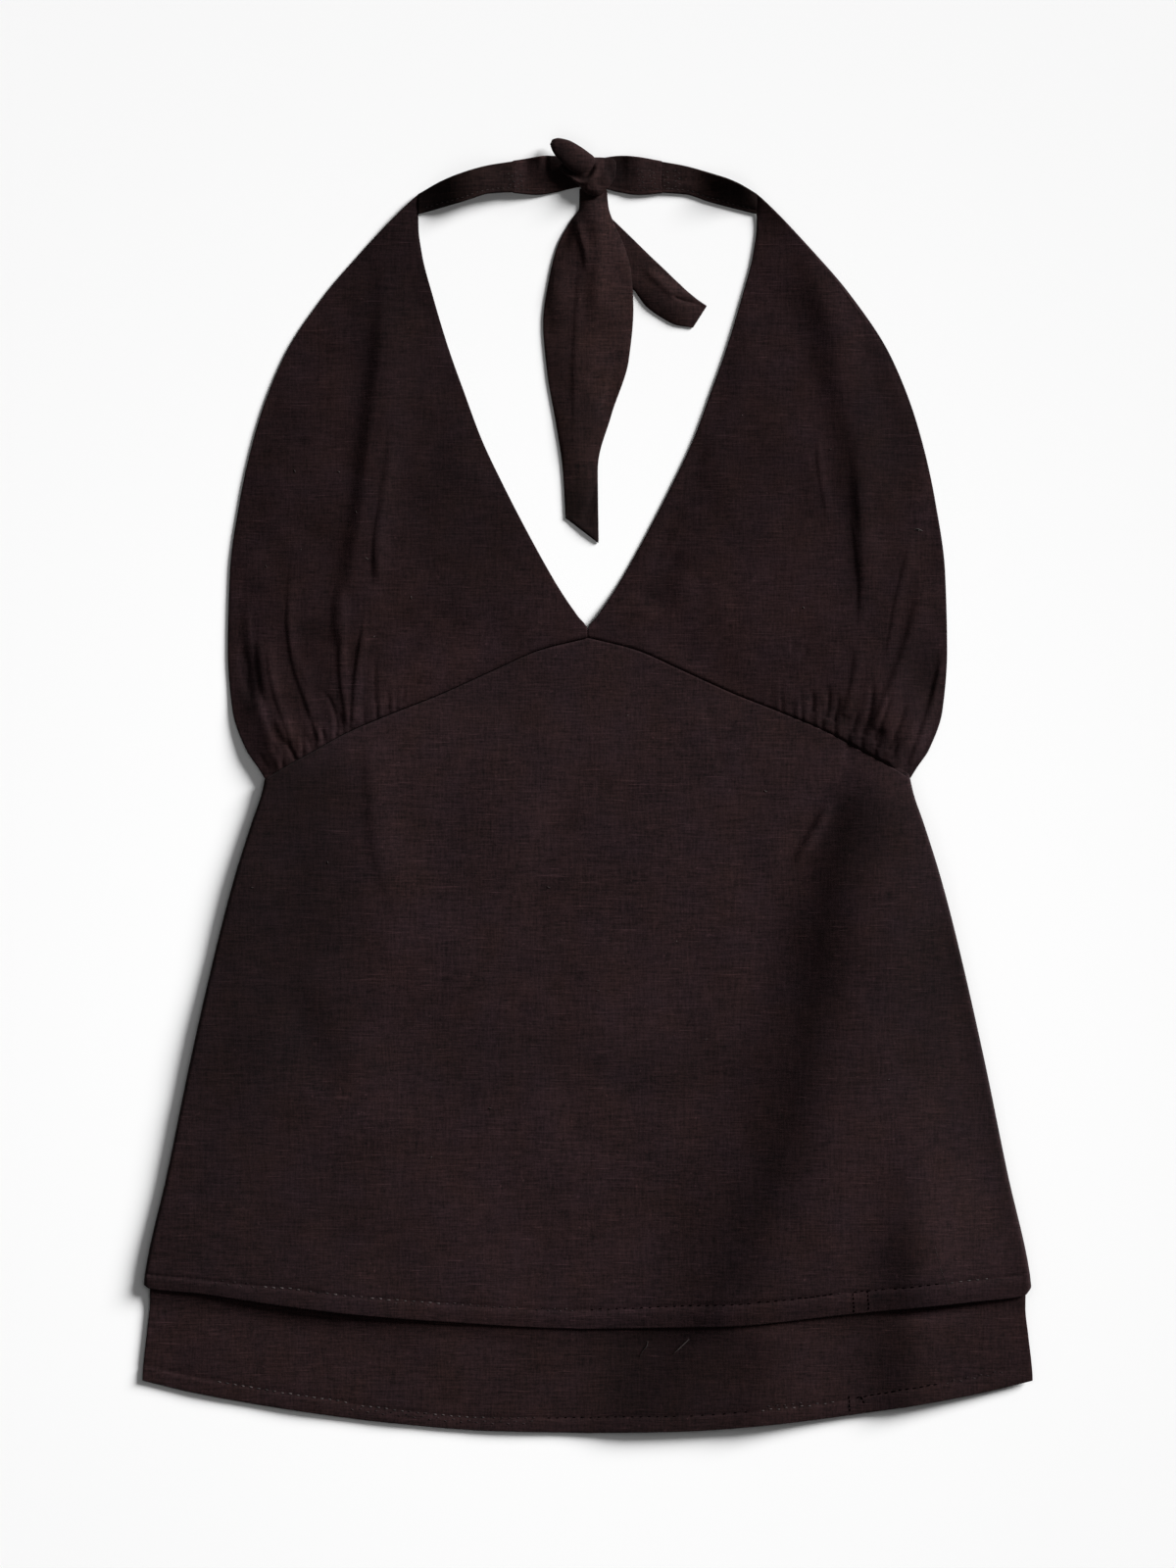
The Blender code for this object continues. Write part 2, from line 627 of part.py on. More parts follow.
def knot_mesh(sides=30):
    """The pulled knot: rings of its outline, closed by a flat foot and a crown."""
    bm = bmesh.new()
    closed = [*KNOT_OUTLINE, dict(angle=360, reach=KNOT_OUTLINE[0]["reach"])]
    rings = []
    for row in KNOT_RINGS:
        ring = []
        for k in range(sides):
            angle = 360 * k / sides
            reach = row["share"] * read(closed, "angle", "reach", angle)
            x = KNOT_AT[0] + reach * math.cos(math.radians(angle))
            y = KNOT_AT[1] + reach * math.sin(math.radians(angle))
            ring.append(bm.verts.new((x * MM, y * MM, row["z"] * MM)))
        rings.append(ring)
    for low, high in zip(rings, rings[1:]):
        for k in range(sides):
            n = (k + 1) % sides
            bm.faces.new((low[k], low[n], high[n], high[k]))
    bm.faces.new(rings[0][::-1])
    bm.faces.new(rings[-1])
    bmesh.ops.recalc_face_normals(bm, faces=bm.faces)
    return bm


place(knot_mesh(), "tie_knot", TIE_CLOTH, home)
bpy.context.view_layer.update()
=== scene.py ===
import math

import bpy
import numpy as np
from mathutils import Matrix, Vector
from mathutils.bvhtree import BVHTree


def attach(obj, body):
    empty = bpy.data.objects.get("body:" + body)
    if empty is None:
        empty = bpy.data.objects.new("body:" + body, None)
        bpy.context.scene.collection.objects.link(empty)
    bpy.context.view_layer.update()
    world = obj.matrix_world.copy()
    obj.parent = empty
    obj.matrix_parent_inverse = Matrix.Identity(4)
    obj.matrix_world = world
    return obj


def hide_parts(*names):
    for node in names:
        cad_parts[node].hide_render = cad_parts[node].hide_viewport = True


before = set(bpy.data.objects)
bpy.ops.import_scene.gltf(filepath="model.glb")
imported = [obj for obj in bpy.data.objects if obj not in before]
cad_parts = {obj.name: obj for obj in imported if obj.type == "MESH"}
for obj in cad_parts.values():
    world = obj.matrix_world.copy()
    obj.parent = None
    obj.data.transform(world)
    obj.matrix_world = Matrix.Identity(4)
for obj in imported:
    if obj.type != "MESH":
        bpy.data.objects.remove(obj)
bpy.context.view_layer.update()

# Halter neck top, laid flat: the looks. Every cloth piece is a thin shell on its solid's form, with its
# folds, gathers, turned hems and stitches. Tables are in millimetres, in the garment's own frame: X
# across, Y up towards the neck, Z up from the surface. at() brings a point of the 1200 x 1600 view to
# that frame, because the camera looks straight down and 1 pixel is 0.54 mm of the garment.

MM = 0.001
PIXEL = 0.54
VIEW = (1200, 1600)

# ---------------------------------------------------------------- camera
LENS = 120.0
SENSOR = 36.0
camera_data = bpy.data.cameras.new("camera")
camera = bpy.data.objects.new("camera", camera_data)
bpy.context.scene.collection.objects.link(camera)
camera_data.sensor_fit = "AUTO"
camera_data.sensor_width = SENSOR
camera_data.lens = LENS
camera_data.clip_start, camera_data.clip_end = 0.05, 50.0
camera.location = (
    0.5 * PIXEL * MM,
    1.5 * PIXEL * MM,
    VIEW[1] * PIXEL * MM * LENS / SENSOR,
)
camera.rotation_euler = (0.0, 0.0, 0.0)
bpy.context.scene.camera = camera
bpy.context.scene.view_settings.view_transform = "Standard"
bpy.context.scene.view_settings.look = "None"

# ---------------------------------------------------------------- sizes that the solids have too
WALL = 1.0
TIE_WALL = 1.4
GAP = 0.3
LAYER = WALL + GAP
BACK_TOP = 2.0
UNDER_INSET = 3.4
LOFT = 0.5
NECK_RISE = 58.0
HEM_DROP = 11.0

OUTER_SIDE = [
    dict(y=2.4, half=177.2),
    dict(y=-8.0, half=179.5),
    dict(y=-24.0, half=185.0),
    dict(y=-53.0, half=194.2),
    dict(y=-86.0, half=203.0),
    dict(y=-150.0, half=217.9),
    dict(y=-215.0, half=231.4),
    dict(y=-269.0, half=243.5),
    dict(y=-276.0, half=244.3),
]
UNDER_SIDE = [
    dict(y=-272.0, half=241.0),
    dict(y=-283.0, half=241.0),
    dict(y=-300.0, half=242.6),
    dict(y=-324.0, half=245.0),
    dict(y=-330.0, half=245.2),
]
SEAM = [
    dict(x=0.0, y=81.5),
    dict(x=26.0, y=75.0),
    dict(x=50.0, y=64.5),
    dict(x=82.0, y=50.0),
    dict(x=106.0, y=40.5),
    dict(x=132.0, y=29.5),
    dict(x=150.0, y=19.5),
    dict(x=167.0, y=10.0),
    dict(x=179.0, y=2.4),
]
OUTER_HEM = [
    dict(x=-244.2, y=-275.2),
    dict(x=-241.0, y=-277.0),
    dict(x=-215.0, y=-279.6),
    dict(x=-172.0, y=-285.8),
    dict(x=-130.0, y=-291.0),
    dict(x=-86.0, y=-294.7),
    dict(x=0.0, y=-299.1),
    dict(x=71.0, y=-297.3),
    dict(x=147.0, y=-289.8),
    dict(x=212.0, y=-283.8),
    dict(x=240.5, y=-280.7),
    dict(x=244.2, y=-276.0),
]
UNDER_HEM = [
    dict(x=0.0, y=-356.1),
    dict(x=54.0, y=-355.0),
    dict(x=108.0, y=-350.7),
    dict(x=162.0, y=-343.7),
    dict(x=216.0, y=-334.3),
    dict(x=246.0, y=-327.2),
]
CUP = [
    dict(v=0.00, xa=-177.2, ya=2.8, xn=-0.4, yn=81.9),
    dict(v=0.02, xa=-180.6, ya=8.4, xn=-0.6, yn=86.0),
    dict(v=0.06, xa=-187.6, ya=19.2, xn=-6.0, yn=93.7),
    dict(v=0.14, xa=-195.2, ya=41.9, xn=-16.2, yn=108.8),
    dict(v=0.24, xa=-197.7, ya=74.3, xn=-31.9, yn=136.4),
    dict(v=0.36, xa=-196.6, ya=116.9, xn=-46.4, yn=164.4),
    dict(v=0.48, xa=-191.2, ya=156.3, xn=-58.9, yn=190.9),
    dict(v=0.60, xa=-182.0, ya=196.3, xn=-68.5, yn=216.8),
    dict(v=0.72, xa=-166.4, ya=236.8, xn=-76.6, yn=239.5),
    dict(v=0.83, xa=-144.3, ya=270.3, xn=-85.7, yn=269.7),
    dict(v=0.91, xa=-125.4, ya=292.4, xn=-91.6, yn=292.4),
    dict(v=0.97, xa=-108.2, ya=310.8, xn=-93.6, yn=308.3),
    dict(v=1.00, xa=-93.8, ya=324.8, xn=-93.4, yn=315.4),
]
STRAP = [
    dict(x=-92.9, low=314.8, high=325.8),
    dict(x=-80.7, low=317.8, high=332.2),
    dict(x=-67.2, low=321.4, high=337.2),
    dict(x=-53.7, low=325.6, high=341.2),
    dict(x=-41.2, low=326.5, high=343.5),
]
TIE_RUN = [
    dict(x=-40.7, low=326.1, high=343.9),
    dict(x=-28.0, low=325.2, high=345.9),
    dict(x=-18.0, low=326.6, high=346.8),
    dict(x=-8.0, low=329.0, high=345.6),
    dict(x=-0.3, low=330.4, high=343.6),
]
LONG_TAIL = [
    dict(xa=-4.6, ya=328.4, xb=11.0, yb=327.6, lift=0.3),
    dict(xa=-4.8, ya=318.6, xb=11.8, yb=318.6, lift=2.2),
    dict(xa=-9.6, ya=310.8, xb=14.8, yb=309.5, lift=3.0),
    dict(xa=-16.6, ya=297.8, xb=19.2, yb=300.4, lift=2.8),
    dict(xa=-21.5, ya=278.9, xb=24.2, yb=283.0, lift=2.4),
    dict(xa=-24.7, ya=254.6, xb=25.5, yb=262.0, lift=2.2),
    dict(xa=-22.5, ya=227.6, xb=22.9, yb=234.0, lift=2.0),
    dict(xa=-17.9, ya=200.6, xb=13.2, yb=203.5, lift=1.8),
    dict(xa=-13.9, ya=173.6, xb=5.9, yb=173.6, lift=1.4),
    dict(xa=-12.3, ya=147.8, xb=6.3, yb=133.6, lift=0.2),
]
SHORT_TAIL = [
    dict(xa=4.6, ya=307.6, xb=12.8, yb=313.2, lift=0.0),
    dict(xa=14.0, ya=295.6, xb=26.6, yb=299.8, lift=0.1),
    dict(xa=19.0, ya=279.6, xb=35.2, yb=291.4, lift=0.2),
    dict(xa=25.4, ya=272.6, xb=42.6, yb=284.4, lift=1.2),
    dict(xa=32.2, ya=263.6, xb=49.9, yb=277.4, lift=2.0),
    dict(xa=39.6, ya=258.2, xb=56.4, yb=271.4, lift=1.8),
    dict(xa=48.8, ya=253.4, xb=62.0, yb=267.0, lift=1.2),
    dict(xa=57.6, ya=252.0, xb=65.6, yb=264.6, lift=0.3),
]


# ---------------------------------------------------------------- curves and fields
def at(x, y):
    """A point of the view, in the garment's frame."""
    return (x - 599.5) * PIXEL, (801.5 - y) * PIXEL


def read(rows, key, column, where):
    """The column's value at a key, on a smooth curve through the rows' own values."""
    keys = np.array([row[key] for row in rows], float)
    values = np.array([row[column] for row in rows], float)
    if keys[0] > keys[-1]:
        keys, values = keys[::-1], values[::-1]
    steps = np.diff(values) / np.diff(keys)
    slopes = np.empty(len(keys))
    slopes[0], slopes[-1] = steps[0], steps[-1]
    for k in range(1, len(keys) - 1):
        a, b = steps[k - 1], steps[k]
        slopes[k] = 0.0 if a * b <= 0 else 2 * a * b / (a + b)
    where = np.clip(np.asarray(where, float), keys[0], keys[-1])
    i = np.clip(np.searchsorted(keys, where, side="right") - 1, 0, len(keys) - 2)
    span = keys[i + 1] - keys[i]
    t = (where - keys[i]) / span
    return (
        (2 * t**3 - 3 * t**2 + 1) * values[i]
        + (t**3 - 2 * t**2 + t) * span * slopes[i]
        + (-2 * t**3 + 3 * t**2) * values[i + 1]
        + (t**3 - t**2) * span * slopes[i + 1]
    )


def ease(t):
    t = np.clip(t, 0.0, 1.0)
    return t * t * (3 - 2 * t)


def mix(a, b, t):
    return a + (b - a) * t


def soft_min(a, b, k):
    h = np.maximum(k - np.abs(a - b), 0.0) / k
    return np.minimum(a, b) - h * h * k / 4


def seam_y(x):
    return read(SEAM, "x", "y", np.abs(x))


def outer_hem_y(x):
    return read(OUTER_HEM, "x", "y", x)


def under_hem_y(x):
    return read(UNDER_HEM, "x", "y", np.abs(x))


def front_rest(y):
    return 2 * LAYER * (1 - ease((y - BACK_TOP) / NECK_RISE))


def smooth_line(points, per_span=10):
    """A smooth line through the points (Catmull-Rom)."""
    p = np.array(points, float)
    if len(p) == 2:
        t = np.linspace(0, 1, per_span + 1)[:, None]
        return p[0] * (1 - t) + p[1] * t
    ends = np.vstack([2 * p[0] - p[1], p, 2 * p[-1] - p[-2]])
    out = []
    for k in range(len(p) - 1):
        a, b, c, d = ends[k : k + 4]
        for t in np.arange(per_span) / per_span:
            out.append(
                0.5
                * (
                    2 * b
                    + (c - a) * t
                    + (2 * a - 5 * b + 4 * c - d) * t * t
                    + (3 * b - a - 3 * c + d) * t**3
                )
            )
    out.append(p[-1])
    return np.array(out)


def beside(x, y, line):
    """For each point: its signed distance to the line (above zero on the left of its direction) and how
    far along the line its nearest point is, from 0 to 1."""
    seg = np.diff(line, axis=0)
    size = np.hypot(seg[:, 0], seg[:, 1])
    total = size.sum()
    start = np.concatenate([[0.0], np.cumsum(size)[:-1]])
    best = np.full(x.shape, 1e18)
    signed = np.zeros(x.shape)
    along = np.zeros(x.shape)
    for k in range(len(seg)):
        dx, dy = seg[k] / max(size[k], 1e-9)
        rx, ry = x - line[k, 0], y - line[k, 1]
        t = np.clip(rx * dx + ry * dy, 0, size[k])
        ex, ey = rx - t * dx, ry - t * dy
        away = ex * ex + ey * ey
        closer = away < best
        best = np.where(closer, away, best)
        side = np.sign(dx * ry - dy * rx)
        signed = np.where(closer, side * np.sqrt(away), signed)
        along = np.where(closer, (start[k] + t) / total, along)
    return signed, along


def creases(x, y, rows):
    """The height that the creases add at each point.

    A row has the line that it runs along, its half width and height (below zero for a trough), lean
    (above zero: gentle on the left of the line's direction and steep on its right), and the shares of its length over which
    it starts and ends. A line that runs down the view has the garment's right, +X, on its left.
    """
    total = np.zeros(x.shape)
    for row in rows:
        line = smooth_line([at(*p) for p in row["line"]])
        width, lean = row["width"], row.get("lean", 0.0)
        reach = 3.2 * width * (1 + abs(lean))
        near = (
            (x > line[:, 0].min() - reach)
            & (x < line[:, 0].max() + reach)
            & (y > line[:, 1].min() - reach)
            & (y < line[:, 1].max() + reach)
        )
        if not near.any():
            continue
        s, t = beside(x[near], y[near], line)
        w = np.where(s > 0, width * (1 + lean), width * (1 - lean))
        ends = ease(t / max(row.get("start", 0.3), 1e-3)) * ease(
            (1 - t) / max(row.get("end", 0.3), 1e-3)
        )
        total[near] += row["height"] * ends * np.exp(-((s / w) ** 2))
    return total


def ruffle(x, y, seed, size, height):
    """Soft unevenness: a fixed sum of waves in many directions."""
    rng = np.random.default_rng(seed)
    total = np.zeros(x.shape)
    for _ in range(14):
        angle = rng.uniform(0, math.tau)
        wave = size * rng.uniform(0.6, 1.7)
        total += np.sin(
            (x * math.cos(angle) + y * math.sin(angle)) * math.tau / wave
            + rng.uniform(0, math.tau)
        )
    return height * total / 3.7


# ---------------------------------------------------------------- materials
def linen(name, colour, roughness=0.9, contrast=1.0, bump=0.5, weave=0.62, gloss=0.14, nap=0.03, painted_light_and_shade=()):
    """Dark plain-weave linen blend: uneven threads both ways, slubs, soft mottling and a little sheen, with soft oval
    patches of painted shade and painted light on its colour.
    """
    made = bpy.data.materials.new(name)
    made.use_nodes = True
    tree = made.node_tree
    nodes, links = tree.nodes, tree.links
    shader = nodes["Principled BSDF"]
    where = nodes.new("ShaderNodeTexCoord").outputs["Object"]

    def noise(scale, stretch, detail=2.0, rough=0.6, offset=(0, 0, 0)):
        mapping = nodes.new("ShaderNodeMapping")
        mapping.inputs["Scale"].default_value = stretch
        mapping.inputs["Location"].default_value = offset
        links.new(where, mapping.inputs["Vector"])
        tex = nodes.new("ShaderNodeTexNoise")
        tex.inputs["Scale"].default_value = scale
        tex.inputs["Detail"].default_value = detail
        tex.inputs["Roughness"].default_value = rough
        links.new(mapping.outputs["Vector"], tex.inputs["Vector"])
        return tex.outputs["Fac"]

    def math_node(kind, a, b=None, c=None):
        node = nodes.new("ShaderNodeMath")
        node.operation = kind
        for i, v in enumerate((a, b, c)):
            if v is None:
                continue
            if isinstance(v, (int, float)):
                node.inputs[i].default_value = v
            else:
                links.new(v, node.inputs[i])
        return node.outputs[0]

    def centred(v, amount):
        return math_node("MULTIPLY", math_node("SUBTRACT", v, 0.5), amount)

    weft = noise(1.0, (95, 1000, 300), 2.0, 0.6)
    warp = noise(1.0, (1000, 110, 300), 2.0, 0.6, (7, 3, 1))
    fibre = noise(760.0, (1, 1, 1), 2.0, 0.7)
    slub = noise(1.0, (70, 1150, 300), 1.0, 0.4, (31, 17, 5))
    fleck = noise(430.0, (1, 1, 1), 1.0, 0.5, (11, 2, 6))
    patch = noise(34.0, (1, 1, 1), 2.0, 0.5, (3, 9, 2))
    block = noise(11.0, (1, 1, 1), 1.5, 0.5, (13, 1, 4))

    def above(v, level, amount):
        return math_node("MULTIPLY", math_node("MAXIMUM", math_node("SUBTRACT", v, level), 0.0), amount)

    raised = above(slub, 0.64, 5.5 * contrast)
    pale = above(fleck, 0.71, 9.0 * contrast)
    total = math_node("ADD", centred(weft, 1.7 * contrast), centred(warp, 1.3 * contrast))
    total = math_node("ADD", total, centred(fibre, 1.6 * contrast))
    total = math_node("ADD", total, centred(patch, 0.42))
    total = math_node("ADD", total, centred(block, 0.5))
    total = math_node("ADD", total, math_node("ADD", raised, pale))
    factor = math_node("MAXIMUM", math_node("ADD", total, 0.97), 0.3)
    # Painted light and shade: soft oval patches that darken the cloth's colour where shade falls (on the flanks of
    # folds, in creases and hollows, on the strap corners and where the light falls off across the garment) or lighten
    # it where the light falls fuller. A row has the middle of a soft oval patch and its two half sizes, in view px, its
    # turn, the share of the half sizes that is even, and its colour as a share of the cloth's.
    for x, y, half_x, half_y, turn, even, share in painted_light_and_shade:
        place = nodes.new("ShaderNodeMapping")
        place.vector_type = "TEXTURE"
        place.inputs["Location"].default_value = (at(x, y)[0] * MM, at(x, y)[1] * MM, 0.0)
        place.inputs["Rotation"].default_value = (0.0, 0.0, math.radians(turn))
        place.inputs["Scale"].default_value = (half_x * PIXEL * MM, half_y * PIXEL * MM, 10.0)
        links.new(where, place.inputs["Vector"])
        apart = nodes.new("ShaderNodeVectorMath")
        apart.operation = "LENGTH"
        links.new(place.outputs["Vector"], apart.inputs[0])
        ramp = nodes.new("ShaderNodeMapRange")
        ramp.interpolation_type = "SMOOTHSTEP"
        ramp.inputs["From Min"].default_value, ramp.inputs["From Max"].default_value = even, 1.0
        ramp.inputs["To Min"].default_value, ramp.inputs["To Max"].default_value = share, 1.0
        links.new(apart.outputs["Value"], ramp.inputs["Value"])
        factor = math_node("MULTIPLY", factor, ramp.outputs["Result"])

    tint = nodes.new("ShaderNodeMix")
    tint.data_type = "RGBA"
    warm = (colour[0] * 1.05, colour[1] * 1.00, colour[2] * 0.91, 1.0)
    cool = (colour[0] * 0.95, colour[1] * 0.99, colour[2] * 1.10, 1.0)
    tint.inputs["A"].default_value = warm
    tint.inputs["B"].default_value = cool
    hue = math_node("ADD", centred(noise(46.0, (1, 1, 1), 2.0, 0.5, (5, 21, 8)), 2.0), 0.5)
    links.new(math_node("MINIMUM", math_node("MAXIMUM", hue, 0.0), 1.0), tint.inputs["Factor"])
    scale = nodes.new("ShaderNodeVectorMath")
    scale.operation = "SCALE"
    links.new(tint.outputs["Result"], scale.inputs[0])
    links.new(factor, scale.inputs["Scale"])
    links.new(scale.outputs[0], shader.inputs["Base Color"])

    links.new(
        math_node("ADD", centred(fibre, 0.14), roughness), shader.inputs["Roughness"]
    )
    shader.inputs["Metallic"].default_value = 0.0
    shader.inputs["Specular IOR Level"].default_value = gloss
    shader.inputs["Sheen Weight"].default_value = nap
    shader.inputs["Sheen Roughness"].default_value = 0.45
    shader.inputs["Sheen Tint"].default_value = (0.9, 0.75, 0.75, 1.0)

    # The weave itself: threads over and under each other, as a fine bump.
    def wave(direction):
        tex = nodes.new("ShaderNodeTexWave")
        tex.wave_type = "BANDS"
        tex.bands_direction = direction
        tex.inputs["Scale"].default_value = math.tau / (weave * MM) / math.tau / 3.1416 * 1.0
        tex.inputs["Distortion"].default_value = 0.6
        tex.inputs["Detail"].default_value = 1.0
        tex.inputs["Detail Scale"].default_value = 0.3
        links.new(where, tex.inputs["Vector"])
        return tex.outputs["Fac"]

    cross = math_node("MULTIPLY", wave("X"), wave("Y"))
    height = math_node("ADD", math_node("MULTIPLY", cross, 0.5), math_node("MULTIPLY", weft, 0.9))
    height = math_node("ADD", height, math_node("MULTIPLY", warp, 0.9))
    height = math_node("ADD", height, math_node("MULTIPLY", fibre, 0.5))
    height = math_node("ADD", height, raised)
    relief = nodes.new("ShaderNodeBump")
    relief.inputs["Strength"].default_value = bump
    relief.inputs["Distance"].default_value = 0.00018
    links.new(height, relief.inputs["Height"])
    links.new(relief.outputs["Normal"], shader.inputs["Normal"])
    return made


# Painted shade on the outer cloth: darker ovals on the broad fold's flank, on the second fold by the right hem, on the
# right side and corner, on the left side and lower left where the light falls off, in a soft band across the body, by
# the right seam and at the hem.
OUTER_PAINTED_SHADE = [
    (225, 900, 195, 340, 0, 0.45, 0.57),
    (300, 790, 80, 50, -20, 0.3, 0.84),
    (250, 1250, 260, 170, 0, 0.3, 0.78),
    (520, 740, 120, 50, -25, 0.3, 0.90),
    (560, 1082, 330, 52, 0, 0.3, 0.83),
    (325, 1070, 70, 60, 0, 0.1, 0.86),
    (866, 862, 52, 84, -16, 0.1, 0.62),
    (832, 1010, 46, 150, -12, 0.1, 0.74),
    (795, 1170, 50, 130, -18, 0.1, 0.80),
    (752, 1260, 52, 120, -20, 0.1, 0.84),
    (915, 830, 48, 70, -10, 0.3, 0.76),
    (1000, 1080, 110, 330, 12, 0.2, 0.68),
    (1016, 1110, 34, 300, 12, 0.1, 0.82),
    (926, 1260, 40, 110, 4, 0.1, 0.76),
    (925, 990, 74, 210, -6, 0.3, 0.80),
    (840, 748, 46, 22, -28, 0.2, 0.84),
    (895, 1321, 16, 13, 0, 0.2, 0.66),
]
# Painted shade and light on the strip of the under layer below the hem: darker where its folds turn away from the
# light, a touch lighter between them.
UNDER_PAINTED_LIGHT_AND_SHADE = [
    (672, 1395, 115, 110, 0, 0.3, 0.70),
    (800, 1395, 70, 90, 0, 0.2, 1.02),
    (915, 1395, 48, 90, 0, 0.2, 0.86),
]
# Painted light and shade on the cups: lighter low down by the seam, darker in the upper cups, in the hollows and pleats
# by the armhole, along the long folds and by the seam's gathers.
CUP_PAINTED_LIGHT_AND_SHADE = [
    (450, 684, 84, 38, 25, 0.2, 1.34),
    (500, 650, 150, 60, 20, 0.2, 1.12),
    (455, 440, 115, 230, 17, 0.5, 0.78),
    (400, 270, 90, 110, 0, 0.3, 0.80),
    (318, 642, 28, 17, 0, 0.2, 0.66),
    (318, 700, 40, 50, 20, 0.2, 0.80),
    (256, 700, 18, 46, -10, 0.2, 0.60),
    (390, 540, 26, 70, 8, 0.2, 0.84),
    (290, 440, 60, 80, 0, 0.2, 0.86),
    (770, 640, 130, 115, -25, 0.5, 1.16),
    (600, 640, 130, 80, 0, 0.3, 1.04),
    (780, 310, 60, 90, 0, 0.3, 1.08),
    (905, 420, 60, 160, -12, 0.4, 0.70),
    (944, 695, 44, 75, 20, 0.2, 0.62),
    (880, 748, 90, 26, -28, 0.3, 0.74),
    (870, 560, 16, 120, -4, 0.2, 0.80),
    (672, 600, 16, 34, -30, 0.2, 0.72),
]
# Painted shade on both strap corners by the cups, and painted light on the right strap by its joint.
STRAP_PAINTED_LIGHT_AND_SHADE = [
    (444, 202, 42, 30, 0, 0.3, 0.50),
    (757, 202, 42, 30, 0, 0.3, 0.55),
    (680, 182, 50, 25, 0, 0.3, 1.25),
]
# Painted shade on the tip of the long end, lower down it and on the ties beside the knot, and painted light on the long
# end near its top.
TIE_PAINTED_LIGHT_AND_SHADE = [
    (600, 530, 60, 60, 0, 0.3, 0.42),
    (600, 270, 45, 70, 0, 0.4, 1.22),
    (602, 448, 34, 60, 0, 0.4, 0.78),
    (572, 174, 26, 26, 0, 0.3, 0.6),
    (632, 174, 22, 26, 0, 0.3, 0.6),
]
OUTER = linen("outer_linen", (0.0156, 0.0075, 0.0082), gloss=0.08, painted_light_and_shade=OUTER_PAINTED_SHADE)
UNDER = linen("under_linen", (0.0150, 0.0071, 0.0074), gloss=0.08, painted_light_and_shade=UNDER_PAINTED_LIGHT_AND_SHADE)
# The cups are the same linen as the body. Their darker base colour is painted shade, for the darker tone they take
# under this light, while their lower gloss and sheen follow their different grain.
CUPS = linen("cup_linen", (0.0132, 0.0064, 0.0069), contrast=0.9, gloss=0.06, nap=0.01, painted_light_and_shade=CUP_PAINTED_LIGHT_AND_SHADE)
STRAPS = linen("strap_linen", (0.0110, 0.0055, 0.0050), gloss=0.06, nap=0.01, painted_light_and_shade=STRAP_PAINTED_LIGHT_AND_SHADE)
TIES = linen("tie_linen", (0.0162, 0.0077, 0.0074), gloss=0.08, painted_light_and_shade=TIE_PAINTED_LIGHT_AND_SHADE)


def thread(name, colour, gloss=0.2):
    """Sewing thread: paler than the cloth, uneven along its length, with a twist. Given a near-black colour, it is
    painted shade for stitches sunk into their needle holes.
    """
    made = bpy.data.materials.new(name)
    made.use_nodes = True
    tree = made.node_tree
    nodes, links = tree.nodes, tree.links
    shader = nodes["Principled BSDF"]
    where = nodes.new("ShaderNodeTexCoord").outputs["Object"]
    uneven = nodes.new("ShaderNodeTexNoise")
    uneven.inputs["Scale"].default_value = 62.0
    uneven.inputs["Detail"].default_value = 3.0
    uneven.inputs["Roughness"].default_value = 0.7
    links.new(where, uneven.inputs["Vector"])
    ramp = nodes.new("ShaderNodeValToRGB")
    ramp.color_ramp.elements[0].position = 0.36
    ramp.color_ramp.elements[0].color = (colour[0] * 0.12, colour[1] * 0.12, colour[2] * 0.12, 1.0)
    ramp.color_ramp.elements[1].position = 0.62
    ramp.color_ramp.elements[1].color = (*colour, 1.0)
    links.new(uneven.outputs["Fac"], ramp.inputs["Fac"])
    links.new(ramp.outputs["Color"], shader.inputs["Base Color"])
    twist = nodes.new("ShaderNodeTexNoise")
    twist.inputs["Scale"].default_value = 2600.0
    links.new(where, twist.inputs["Vector"])
    relief = nodes.new("ShaderNodeBump")
    relief.inputs["Strength"].default_value = 0.4
    relief.inputs["Distance"].default_value = 0.0001
    links.new(twist.outputs["Fac"], relief.inputs["Height"])
    links.new(relief.outputs["Normal"], shader.inputs["Normal"])
    shader.inputs["Roughness"].default_value = 0.7
    shader.inputs["Specular IOR Level"].default_value = gloss
    return made


THREAD = thread("sewing_thread", (0.060, 0.047, 0.047))
FAINT_THREAD = thread("faint_thread", (0.034, 0.024, 0.025), 0.05)
# Near-black thread for stitches sunk into the hem: painted shade of the dents they sit in.
SHADED_STITCH_THREAD = thread("painted_shade_thread", (0.0034, 0.0019, 0.0022), 0.0)
STRAP_THREAD = thread("strap_thread", (0.022, 0.014, 0.013))
LINT = thread("pale_fibre", (0.080, 0.064, 0.062))


# ---------------------------------------------------------------- shells
made_pieces = {}


def build(name, verts, faces, material, smooth=True):
    mesh = bpy.data.meshes.new(name)
    mesh.from_pydata([tuple(v) for v in (np.asarray(verts) * MM).tolist()], [], faces)
    mesh.materials.append(material)
    mesh.validate()
    if smooth:
        mesh.polygons.foreach_set("use_smooth", [True] * len(mesh.polygons))
    mesh.update()
    made = bpy.data.objects.new(name, mesh)
    bpy.context.scene.collection.objects.link(made)
    made_pieces[name] = made
    return made


def unit(v):
    return v / np.maximum(np.linalg.norm(v, axis=-1, keepdims=True), 1e-9)


